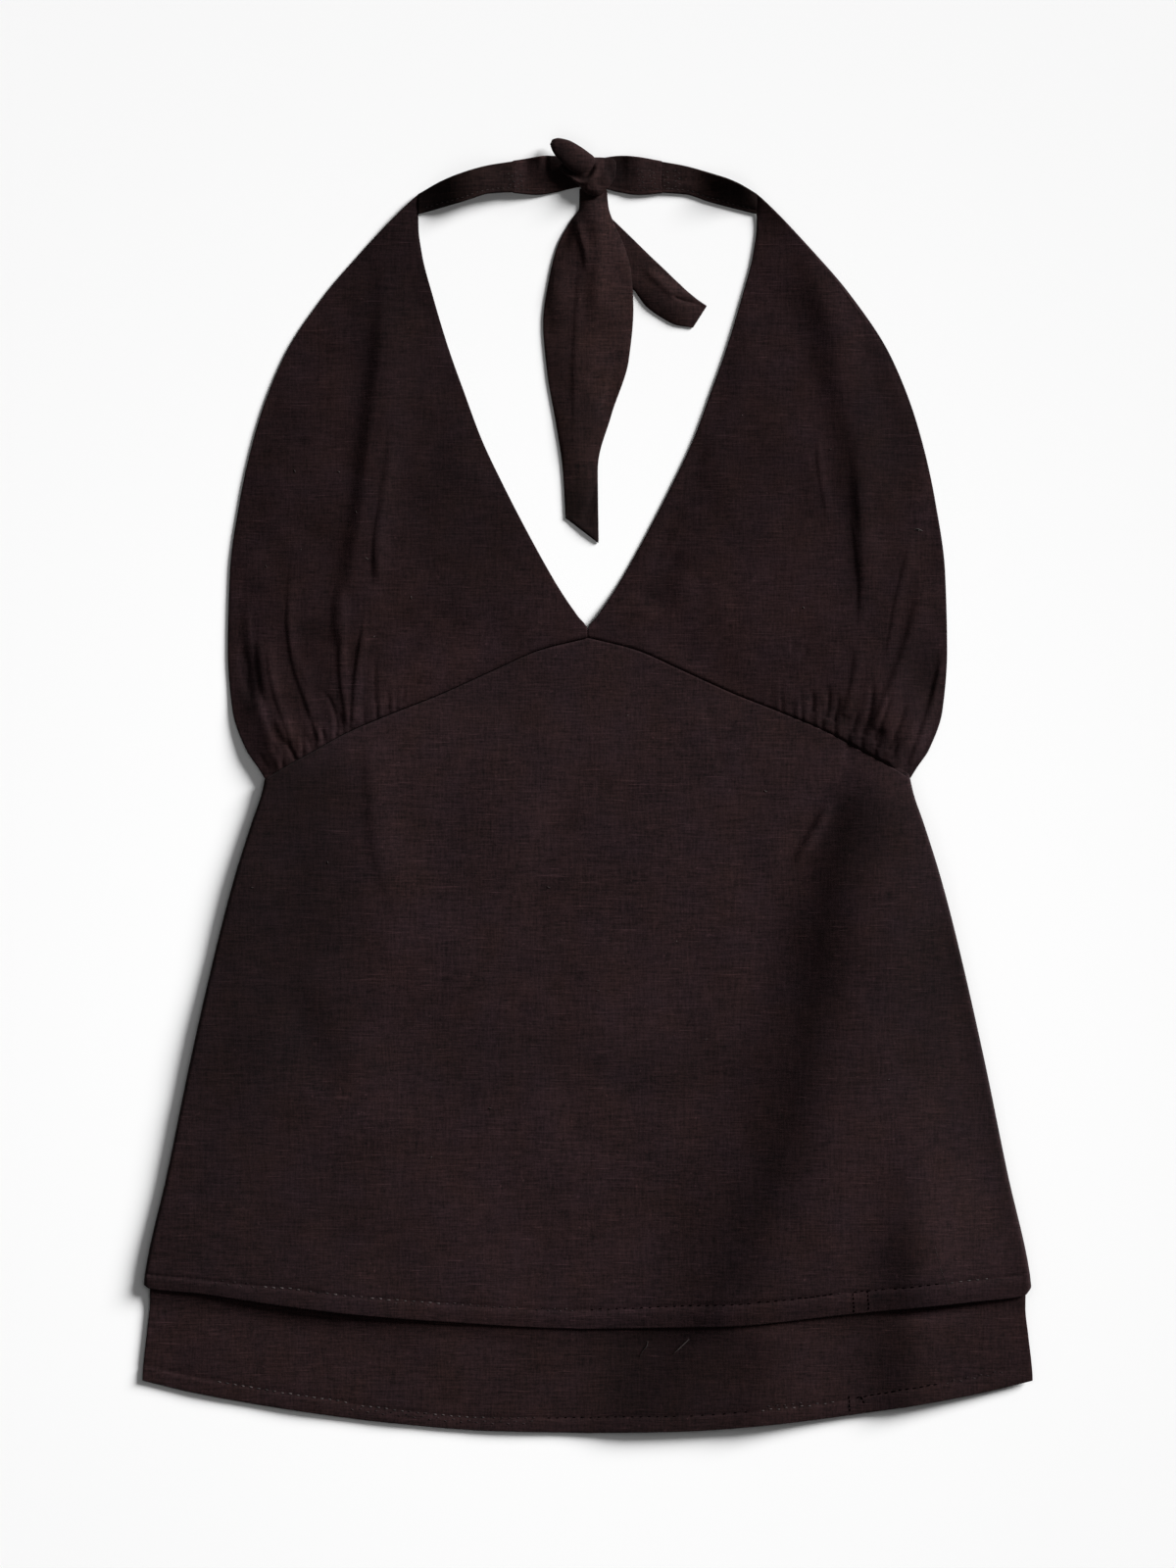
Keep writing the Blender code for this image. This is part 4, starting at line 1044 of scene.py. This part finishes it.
SHORT_CREASES = [
    dict(line=[(654, 270), (668, 283), (683, 297), (697, 307)], width=2.6, height=0.8, lean=0.1),
    dict(line=[(684, 301), (694, 306), (704, 309), (719, 311)], width=0.9, height=-0.8, start=0.2, end=0.05),
    dict(line=[(688, 294), (702, 301), (716, 305)], width=1.8, height=0.75, start=0.3, end=0.2),
    dict(line=[(690, 288), (700, 292), (708, 298)], width=2.6, height=-0.9),
]


def tail(name, rows, material, rows_of, across, along, base, seed):
    numbered = [dict(row, at=float(i)) for i, row in enumerate(rows)]
    U, V = np.meshgrid(steps((0.0, 0.05, 2), (0.05, 0.95, across), (0.95, 1.0, 2)), steps((0.0, 1.0, along)))
    spot = V * (len(rows) - 1)
    xa, ya = read(numbered, "at", "xa", spot), read(numbered, "at", "ya", spot)
    xb, yb = read(numbered, "at", "xb", spot), read(numbered, "at", "yb", spot)
    lift = read(numbered, "at", "lift", spot)
    inset = 0.6 / np.maximum(np.hypot(xb - xa, yb - ya), 1.0)
    W = mix(inset, 1 - inset, U)
    X, Y = mix(xa, xb, W), mix(ya, yb, W)
    Z = base(X, Y) + lift * np.sin(math.pi * U) ** 0.8
    Z = Z + (creases(X, Y, rows_of) + ruffle(X, Y, seed, 26, 0.22)) * ease(np.minimum(U, 1 - U) / 0.06)
    Z = np.maximum(Z, 0.0) + 0.45
    return shell(name, np.dstack([X[:, ::-1], Y[:, ::-1], Z[:, ::-1]]), 0.8, material)


def over_short(x, y):
    """The long end's right edge lies on the short one, near the knot."""
    return 1.1 * ease((x + 7) / 14) * ease((y - 244) / 24) * ease((325 - y) / 10)


tail("tie_tail_long_cloth", LONG_TAIL, TIES, LONG_CREASES, 46, 190, over_short, 51)
tail("tie_tail_short_cloth", SHORT_TAIL, TIES, SHORT_CREASES, 26, 90, lambda x, y: 0.0 * x, 52)

# ---------------------------------------------------------------- the knot
KNOT_CORE = [
    (628.5, 174), (628.5, 166), (625, 162), (617, 160.8), (606, 160.5), (592, 161), (580, 164), (572, 168),
    (570, 172), (575, 177), (582, 182.5), (588.5, 187), (592, 191), (596, 195.5), (601, 198.6), (608, 200.3), (614, 198.6),
    (619.5, 192.5), (624, 187), (627.3, 181),
]
WING = [
    dict(at=0.0, xa=561.2, ya=147.0, xb=563.6, yb=142.2, mid=4.6, rise=0.6),
    dict(at=1.0, xa=562.8, ya=152.0, xb=569.5, yb=140.8, mid=5.4, rise=1.3),
    dict(at=2.0, xa=566.0, ya=158.0, xb=579.5, yb=142.8, mid=6.4, rise=1.8),
    dict(at=3.0, xa=571.0, ya=164.0, xb=590.5, yb=148.4, mid=7.2, rise=2.3),
    dict(at=4.0, xa=577.0, ya=169.5, xb=600.5, yb=155.4, mid=7.4, rise=2.6),
    dict(at=5.0, xa=582.5, ya=173.8, xb=606.0, yb=160.0, mid=6.8, rise=2.6),
    dict(at=6.0, xa=587.5, ya=176.4, xb=607.6, yb=164.5, mid=5.9, rise=2.2),
    dict(at=7.0, xa=591.5, ya=178.4, xb=607.4, yb=169.0, mid=4.9, rise=1.8),
    dict(at=8.0, xa=595.0, ya=180.4, xb=606.0, yb=175.0, mid=4.0, rise=1.0),
]
KNOT_CREASES = [
    # The lip that the wing is tucked into, and the hollow inside it.
    dict(line=[(568, 170), (576, 176), (583, 182), (591, 187), (598, 186), (604, 181), (608, 173), (609, 164)], width=1.4, height=1.7, start=0.12, end=0.3),
    dict(line=[(572, 167), (582, 174.5), (591, 180.5), (598, 179.5), (602, 174), (603, 166)], width=3.0, height=-1.7, start=0.1, end=0.15),
    dict(line=[(614, 162), (620, 170), (624, 180), (622, 188)], width=2.2, height=-0.5),
    dict(line=[(612, 168), (613, 180), (607, 191)], width=2.4, height=-0.4),
    dict(line=[(592, 191), (603, 195.5), (616, 194)], width=2.0, height=0.7),
]


def knot():
    line = smooth_line([at(*p) for p in KNOT_CORE + KNOT_CORE[:1]], 6)[:-1]
    cx, cy = at(600.5, 178.5)
    sides = len(line)
    shares = [1.0, 0.97, 0.9, 0.82, 0.74, 0.66, 0.58, 0.5, 0.42, 0.34, 0.26, 0.18, 0.1, 0.04]
    verts, faces, rings = [], [], []
    low_ring = list(range(sides))
    for x, y in line:
        verts.append((mix(cx, x, 0.86), mix(cy, y, 0.86), 2.0))
    for s in shares:
        ring = list(range(len(verts), len(verts) + sides))
        x = mix(cx, line[:, 0], s)
        y = mix(cy, line[:, 1], s)
        # The right lobe is flatter, because it runs on into the tie.
        rim = 4.2 + 1.5 * ease((x - at(608, 0)[0]) / 9.0)
        z = rim + (7.4 - rim) * (1 - s**3) + creases(x, y, KNOT_CREASES) * ease((1 - s) / 0.1 + 0.2)
        for p in zip(x, y, z):
            verts.append(p)
        rings.append(ring)
    mid = 3.0
    belly = list(range(len(verts), len(verts) + sides))
    for x, y in line:
        verts.append((mix(cx, x, 0.985), mix(cy, y, 0.985), mid))
    order = [low_ring, belly] + rings
    for a, b in zip(order, order[1:]):
        for k in range(sides):
            n = (k + 1) % sides
            faces.append((a[k], a[n], b[n], b[k]))
    faces.append(tuple(order[-1]))
    faces.append(tuple(low_ring[::-1]))
    # The wing: lens-shaped sections from its free tip to the end that is tucked into the lip.
    first = len(verts)
    around, along = 28, 56
    for i in range(along + 1):
        spot = i / along * (len(WING) - 1)
        xa, ya = at(read(WING, "at", "xa", spot), read(WING, "at", "ya", spot))
        xb, yb = at(read(WING, "at", "xb", spot), read(WING, "at", "yb", spot))
        middle, rise = read(WING, "at", "mid", spot), read(WING, "at", "rise", spot)
        for k in range(around):
            a = math.tau * k / around
            u = 0.5 - 0.5 * math.cos(a)
            round_top = math.sin(a)
            z = middle + (rise if round_top > 0 else rise * 0.7) * math.copysign(abs(round_top) ** 0.8, round_top)
            x, y = mix(xa, xb, u), mix(ya, yb, u)
            verts.append((x, y, z))
    for i in range(along):
        for k in range(around):
            n = (k + 1) % around
            a, b = first + i * around, first + (i + 1) * around
            faces.append((a + k, a + n, b + n, b + k))
    faces.append(tuple(first + k for k in range(around))[::-1])
    faces.append(tuple(first + along * around + k for k in range(around)))
    # The outline was read in the view, where a higher point shows farther out.
    verts = [(x * (1 - z / 2880), y * (1 - z / 2880), z) for x, y, z in verts]
    made = build("tie_knot_cloth", verts, [list(map(int, f)) for f in faces], TIES)
    import bmesh

    bm = bmesh.new()
    bm.from_mesh(made.data)
    bmesh.ops.recalc_face_normals(bm, faces=bm.faces)
    bm.to_mesh(made.data)
    bm.free()
    made.data.polygons.foreach_set("use_smooth", [True] * len(made.data.polygons))
    return made


knot()

# ---------------------------------------------------------------- stitches and fibres
def drop_on(names):
    """A look-down finder of the highest cloth surface at a place, and which way is out of it."""
    trees = []
    for name in names:
        mesh = made_pieces[name].data
        points = np.empty(len(mesh.vertices) * 3)
        mesh.vertices.foreach_get("co", points)
        trees.append(
            BVHTree.FromPolygons(
                [Vector(p) for p in points.reshape(-1, 3)],
                [tuple(p.vertices) for p in mesh.polygons],
            )
        )

    def find(x, y):
        best = None
        for tree in trees:
            spot, normal, _, _ = tree.ray_cast(Vector((x * MM, y * MM, 0.1)), Vector((0, 0, -1)))
            if spot is not None and (best is None or spot.z > best[0].z):
                best = (spot, normal)
        if best is None:
            return None
        return np.array(best[0]) / MM, np.array(best[1])

    return find


def pill(start, end, up, radius, sink, verts, faces, flat=0.6):
    """A stitch from start to end: a flattened rod with round ends, half sunk in the cloth."""
    line = end - start
    size = np.linalg.norm(line)
    ahead = line / max(size, 1e-6)
    side = unit(np.cross(up, ahead))
    up = np.cross(ahead, side)
    first = len(verts)
    for t, r in ((0.0, 0.35), (0.16, 0.85), (0.5, 1.0), (0.84, 0.85), (1.0, 0.35)):
        middle = start + line * t - up * sink
        middle = middle - up * radius * 0.9 * (2 * t - 1) ** 4
        for k in range(6):
            a = math.tau * k / 6
            verts.append(middle + radius * r * (side * math.cos(a) + up * math.sin(a) * flat))
    for i in range(4):
        for k in range(6):
            n = (k + 1) % 6
            a, b = first + 6 * i, first + 6 * (i + 1)
            faces.append((a + k, a + n, b + n, b + k))
    faces.append(tuple(first + k for k in range(6))[::-1])
    faces.append(tuple(first + 24 + k for k in range(6)))


def along_line(points, pitch, start=0.0, stop=1.0):
    """Places at an even pitch along a line, with the direction there."""
    line = smooth_line(points, 24)
    size = np.concatenate([[0.0], np.cumsum(np.hypot(*np.diff(line, axis=0).T))])
    spots = np.arange(size[-1] * start + pitch / 2, size[-1] * stop, pitch)
    x, y = np.interp(spots, size, line[:, 0]), np.interp(spots, size, line[:, 1])
    dx = np.interp(spots + 0.5, size, line[:, 0]) - np.interp(spots - 0.5, size, line[:, 0])
    dy = np.interp(spots + 0.5, size, line[:, 1]) - np.interp(spots - 0.5, size, line[:, 1])
    d = np.hypot(dx, dy)
    return [(a, b, c / e, f / e) for a, b, c, f, e in zip(x, y, dx, dy, d)]


def stitch_rows(name, rows, cloths, seed, material=THREAD):
    """Rows of stitches as one mesh. Each row: points in mm, pitch, length, radius, and zigzag, the
    distance by which every other stitch steps aside."""
    find = drop_on(cloths)
    rng = np.random.default_rng(seed)
    verts, faces = [], []
    for row in rows:
        for i, (x, y, dx, dy) in enumerate(along_line(row["line"], row["pitch"])):
            aside = row.get("zigzag", 0.0) * (0.5 if i % 2 else -0.5) + rng.normal(0, 0.12)
            turn = rng.normal(0, 0.07) + (row.get("slant", 0.0) * (1 if i % 2 else -1))
            c, s = math.cos(turn), math.sin(turn)
            ex, ey = dx * c - dy * s, dx * s + dy * c
            x0, y0 = x - dy * aside, y + dx * aside
            half = row["length"] / 2 * rng.uniform(0.88, 1.08)
            a, b, m = (find(x0 + ex * t, y0 + ey * t) for t in (-half, half, 0.0))
            if a is None or b is None or m is None:
                continue
            if max(a[0][2], b[0][2], m[0][2]) - min(a[0][2], b[0][2], m[0][2]) > 1.5:
                continue
            pill(a[0], b[0], m[1], row["radius"], -row.get("rise", 0.05), verts, faces)
    return build(name, verts, faces, material)


def fibres(name, rows, cloths, seed, material):
    """Loose threads and lint as one mesh: each a thin tube along its own curve, lying on the cloth."""
    find = drop_on(cloths)
    verts, faces = [], []
    for row in rows:
        line = smooth_line([at(*p) for p in row["line"]], 6)
        centre = []
        for i, (x, y) in enumerate(line):
            hit = find(x, y)
            if hit is None:
                continue
            lift = row.get("lift", 0.1) * math.sin(math.pi * i / (len(line) - 1))
            centre.append(hit[0] + hit[1] * (row["radius"] * 0.7 + lift))
        if len(centre) < 3:
            continue
        centre = np.array(centre)
        ahead = unit(np.gradient(centre, axis=0))
        side = unit(np.cross(np.tile([0.0, 0.0, 1.0], (len(centre), 1)), ahead))
        up = np.cross(ahead, side)
        first = len(verts)
        n = len(centre)
        for i in range(n):
            r = row["radius"] * (0.35 + 0.65 * math.sin(math.pi * (0.08 + 0.84 * i / (n - 1))))
            for k in range(5):
                a = math.tau * k / 5
                verts.append(centre[i] + r * (side[i] * math.cos(a) + up[i] * math.sin(a)))
        for i in range(n - 1):
            for k in range(5):
                m = (k + 1) % 5
                a, b = first + 5 * i, first + 5 * (i + 1)
                faces.append((a + k, a + m, b + m, b + k))
        faces.append(tuple(first + k for k in range(5))[::-1])
        faces.append(tuple(first + 5 * (n - 1) + k for k in range(5)))
    return build(name, verts, faces, material)


def offset_row(edge, x_from, x_to, up, count=60):
    return [(x, float(edge(x)) + up) for x in np.linspace(x_from, x_to, count)]


def hem_line(edge, table, x_from, x_to, more=0.0):
    """The stitch line between two places of the view, given by their px from the left."""
    xs = np.linspace(at(x_from, 0)[0], at(x_to, 0)[0], 40)
    return [(x, float(edge(x)) + float(read(table, "x", "up", x)) + more) for x in xs]


def outer_row(x_from, x_to, pitch=4.55, length=2.6, radius=0.42, more=0.0, **others):
    return dict(line=hem_line(outer_hem_y, HEM_ROW, x_from, x_to, more), pitch=pitch, length=length, radius=radius, **others)


def under_row(x_from, x_to, pitch=4.4, length=2.3, radius=0.40, more=0.0, **others):
    return dict(line=hem_line(under_hem_y, UNDER_ROW, x_from, x_to, more), pitch=pitch, length=length, radius=radius, **others)


def upright(x0, y0, x1, y1):
    return dict(line=[at(x0, y0), at((x0 + x1) / 2, (y0 + y1) / 2), at(x1, y1)], pitch=2.3, length=2.1, radius=0.38)


stitch_rows(
    "outer_hem_stitches",
    [outer_row(267, 313), outer_row(330, 346), outer_row(376, 452, length=2.3, radius=0.38), outer_row(965, 1013, pitch=4.8, length=2.2, radius=0.36)],
    ["front_cloth"],
    61,
)
stitch_rows(
    "outer_hem_faint_stitches",
    [
        outer_row(218, 264, pitch=3.4, length=1.9, radius=0.36, zigzag=1.6, slant=0.3),
        outer_row(313, 330, length=2.2), outer_row(348, 374, length=2.2), outer_row(452, 530, pitch=4.3, length=2.0, radius=0.34, zigzag=0.6),
        outer_row(396, 452, pitch=8.8, length=1.8, radius=0.34, more=-1.6), outer_row(545, 586, pitch=3.2, length=1.7, radius=0.34, zigzag=1.2, slant=0.4),
        outer_row(852, 860, pitch=3.0, length=1.8, radius=0.4),
    ],
    ["front_cloth"],
    64,
    FAINT_THREAD,
)
# The outer hem's sunken stitches, in the near-black thread that paints their shade.
stitch_rows(
    "outer_hem_painted_shade_stitches",
    [
        outer_row(600, 690, length=1.8, radius=0.34), outer_row(692, 770, length=2.2, radius=0.36), outer_row(770, 812, length=2.4, radius=0.36),
        outer_row(812, 852, pitch=3.4, length=3.0, radius=0.40), outer_row(868, 900, pitch=3.8, length=2.2, radius=0.36), outer_row(908, 962, length=2.6, radius=0.38),
        upright(869, 1316, 870, 1337), upright(884, 1313, 885, 1334),
    ],
    ["front_cloth"],
    65,
    SHADED_STITCH_THREAD,
)
stitch_rows(
    "under_hem_stitches",
    [under_row(220, 356), under_row(366, 414, length=2.1), under_row(440, 500, length=2.0, radius=0.36), under_row(774, 852, pitch=4.3, length=2.0, radius=0.34, zigzag=0.5)],
    ["under_front_cloth"],
    62,
)
stitch_rows(
    "under_hem_faint_stitches",
    [
        under_row(414, 440), under_row(500, 546, length=1.9, radius=0.34), under_row(356, 545, pitch=4.3, length=1.9, radius=0.32, more=-2.4, zigzag=1.2, slant=0.25),
        under_row(780, 830, pitch=4.4, length=1.8, radius=0.32, more=2.0, slant=0.3), under_row(962, 1022, pitch=3.8, length=2.0, radius=0.34, zigzag=1.4, slant=0.3),
    ],
    ["under_front_cloth"],
    66,
    FAINT_THREAD,
)
# The under hem's sunken stitches, in the near-black thread that paints their shade.
stitch_rows(
    "under_hem_painted_shade_stitches",
    [
        under_row(556, 690, pitch=4.6, length=1.9, radius=0.34), under_row(700, 768, pitch=6.0, length=2.0, radius=0.34),
        under_row(872, 958, pitch=3.9, length=2.6, radius=0.38), upright(866, 1423, 867, 1440), upright(878, 1424, 882, 1432),
    ],
    ["under_front_cloth"],
    67,
    SHADED_STITCH_THREAD,
)


def strap_low(x):
    return read(STRAP, "x", "low", -np.abs(x))


def tie_low(x):
    return read(TIE_RUN, "x", "low", -np.abs(x))


strap_rows = []
for side in (-1, 1):
    strap_rows.append(dict(line=[(side * x, float(strap_low(x)) + 2.3) for x in np.linspace(90, 43, 24)], pitch=2.9, length=1.7, radius=0.20))
    strap_rows.append(dict(line=[(side * x, float(tie_low(x)) + 2.4) for x in np.linspace(40, 22, 12)], pitch=2.9, length=1.7, radius=0.20))
# The joints of strap and tie: rows that were sewn back and forth.
for x0, x1, low, high in ((520, 523, 177, 192), (528, 531, 176, 193), (652, 655, 172, 194), (664, 667, 173, 194), (678, 680, 172, 193), (690, 691, 173, 192)):
    strap_rows.append(dict(line=[at(x0, low), at((x0 + x1) / 2, (low + high) / 2), at(x1, high)], pitch=1.5, length=1.9, radius=0.20, zigzag=2.2, slant=1.2))
stitch_rows("strap_stitches", strap_rows, ["strap_left_cloth", "strap_right_cloth", "tie_run_left_cloth", "tie_run_right_cloth"], 63, STRAP_THREAD)

fibres(
    "loose_threads",
    [
        dict(line=[(687, 1380), (692, 1376), (698, 1370), (703, 1365)], radius=0.34, lift=0.8),
        dict(line=[(653, 1384), (656, 1378), (660, 1373), (661, 1368)], radius=0.20, lift=0.5),
        dict(line=[(952, 1268), (955, 1282), (960, 1298), (968, 1316)], radius=0.055, lift=0.03),
    ],
    ["front_cloth", "under_front_cloth"],
    71,
    LINT,
)
LINT_SPOTS = [
    (382, 650), (364, 523), (301, 481), (346, 482), (307, 561), (272, 578), (375, 570), (258, 905),
    (757, 424), (847, 459), (937, 541), (781, 807), (320, 300), (420, 610), (560, 905), (690, 960),
    (500, 1130), (610, 1010), (440, 1180), (905, 1100), (640, 730), (335, 880), (720, 1060), (820, 620),
]
rng = np.random.default_rng(77)
lint_rows = []
for px, py in LINT_SPOTS:
    angle, size = rng.uniform(0, math.pi), rng.uniform(0.8, 1.8)
    bend = rng.uniform(-0.5, 0.5)
    cx, cy = math.cos(angle) * size, math.sin(angle) * size
    lint_rows.append(
        dict(
            line=[(px - cx, py - cy), (px + bend * math.sin(angle), py - bend * math.cos(angle)), (px + cx, py + cy)],
            radius=rng.uniform(0.11, 0.20),
            lift=0.15,
        )
    )
lint_rows.append(dict(line=[(932, 541), (936, 540), (941, 542)], radius=0.24, lift=0.2))
fibres("lint", lint_rows, ["front_cloth", "cup_left_cloth", "cup_right_cloth"], 72, LINT)

# ---------------------------------------------------------------- floor, light
floor_mesh = bpy.data.meshes.new("floor")
size = 6.0
floor_mesh.from_pydata([(-size, -size, -0.0002), (size, -size, -0.0002), (size, size, -0.0002), (-size, size, -0.0002)], [], [(0, 1, 2, 3)])
floor = bpy.data.objects.new("floor", floor_mesh)
bpy.context.scene.collection.objects.link(floor)
paper = bpy.data.materials.new("pale_floor")
paper.use_nodes = True
paper.node_tree.nodes["Principled BSDF"].inputs["Base Color"].default_value = (0.92, 0.92, 0.92, 1.0)
paper.node_tree.nodes["Principled BSDF"].inputs["Roughness"].default_value = 0.9
paper.node_tree.nodes["Principled BSDF"].inputs["Specular IOR Level"].default_value = 0.1
floor_mesh.materials.append(paper)


def area_light(name, azimuth, elevation, distance, size, power, colour=(1, 1, 1)):
    data = bpy.data.lights.new(name, "AREA")
    data.shape = "DISK"
    data.size = size
    data.energy = power
    data.color = colour
    made = bpy.data.objects.new(name, data)
    bpy.context.scene.collection.objects.link(made)
    a, e = math.radians(azimuth), math.radians(elevation)
    made.location = (
        distance * math.cos(e) * math.cos(a),
        distance * math.cos(e) * math.sin(a),
        distance * math.sin(e),
    )
    made.rotation_mode = "QUATERNION"
    made.rotation_quaternion = Vector(made.location).to_track_quat("Z", "Y")
    return made


def sun_light(name, azimuth, elevation, width, strength):
    data = bpy.data.lights.new(name, "SUN")
    data.angle = math.radians(width)
    data.energy = strength
    made = bpy.data.objects.new(name, data)
    bpy.context.scene.collection.objects.link(made)
    a, e = math.radians(azimuth), math.radians(elevation)
    made.location = (3 * math.cos(e) * math.cos(a), 3 * math.cos(e) * math.sin(a), 3 * math.sin(e))
    made.rotation_mode = "QUATERNION"
    made.rotation_quaternion = Vector(made.location).to_track_quat("Z", "Y")
    return made


sun_light("key", 34, 20.5, 22, 8.1)
pool = area_light("overhead", 270, 78, 0.58, 0.5, 0.42)
pool.visible_camera = False
world = bpy.data.worlds.new("studio")
bpy.context.scene.world = world
world.use_nodes = True
world.node_tree.nodes["Background"].inputs["Color"].default_value = (1.0, 1.0, 1.0, 1.0)
world.node_tree.nodes["Background"].inputs["Strength"].default_value = 0.08

# ---------------------------------------------------------------- the table
PIECES = [
    ("front_cloth", "front_panel", "outer_cloth", (0.51, 0.40), 0.152, "laid", ["under_front_cloth"]),
    ("back_cloth", "back_panel", "outer_cloth", (0.51, 0.32), 0.133, "laid", ["floor"]),
    ("under_front_cloth", "under_front", "under_cloth", (0.51, 0.45), 0.176, "laid", ["under_back_cloth"]),
    ("under_back_cloth", "under_back", "under_cloth", (0.51, 0.38), 0.158, "laid", ["back_cloth"]),
    ("cup_left_cloth", "cup_left", "cup_cloth", (0.24, 0.34), 0.040, "gathered", ["floor"]),
    ("cup_right_cloth", "cup_right", "cup_cloth", (0.24, 0.34), 0.040, "gathered", ["floor"]),
    ("strap_left_cloth", "strap_left", "strap_cloth", (0.018, 0.055), None, "laid", ["floor"]),
    ("strap_right_cloth", "strap_right", "strap_cloth", (0.018, 0.055), None, "laid", ["floor"]),
    ("tie_run_left_cloth", "tie_run_left", "tie_cloth", (0.020, 0.042), None, "laid", ["floor"]),
    ("tie_run_right_cloth", "tie_run_right", "tie_cloth", (0.020, 0.042), None, "laid", ["floor"]),
    ("tie_tail_long_cloth", "tie_tail_long", "tie_cloth", (0.045, 0.20), 0.0068, "folded", ["floor"]),
    ("tie_tail_short_cloth", "tie_tail_short", "tie_cloth", (0.022, 0.08), 0.0015, "folded", ["floor"]),
]
for name, node, slot, flat, area, held, rests_on in PIECES:
    piece = made_pieces[name]
    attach(piece, "root")
    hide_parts(node)
EXTRAS = [
    ("tie_knot_cloth", "tie_knot", "tie_cloth", "tie_tail_long_cloth"),
    ("outer_hem_stitches", "front_panel", "outer_cloth", "front_cloth"),
    ("outer_hem_faint_stitches", "front_panel", "outer_cloth", "front_cloth"),
    ("outer_hem_painted_shade_stitches", "front_panel", "outer_cloth", "front_cloth"),
    ("under_hem_stitches", "under_front", "under_cloth", "under_front_cloth"),
    ("under_hem_faint_stitches", "under_front", "under_cloth", "under_front_cloth"),
    ("under_hem_painted_shade_stitches", "under_front", "under_cloth", "under_front_cloth"),
    ("strap_stitches", "strap_left", "strap_cloth", "strap_left_cloth"),
    ("loose_threads", "under_front", "under_cloth", "under_front_cloth"),
    ("lint", "front_panel", "outer_cloth", "front_cloth"),
]
for name, node, slot, sheet in EXTRAS:
    piece = made_pieces[name]
    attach(piece, "root")
    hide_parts(node)
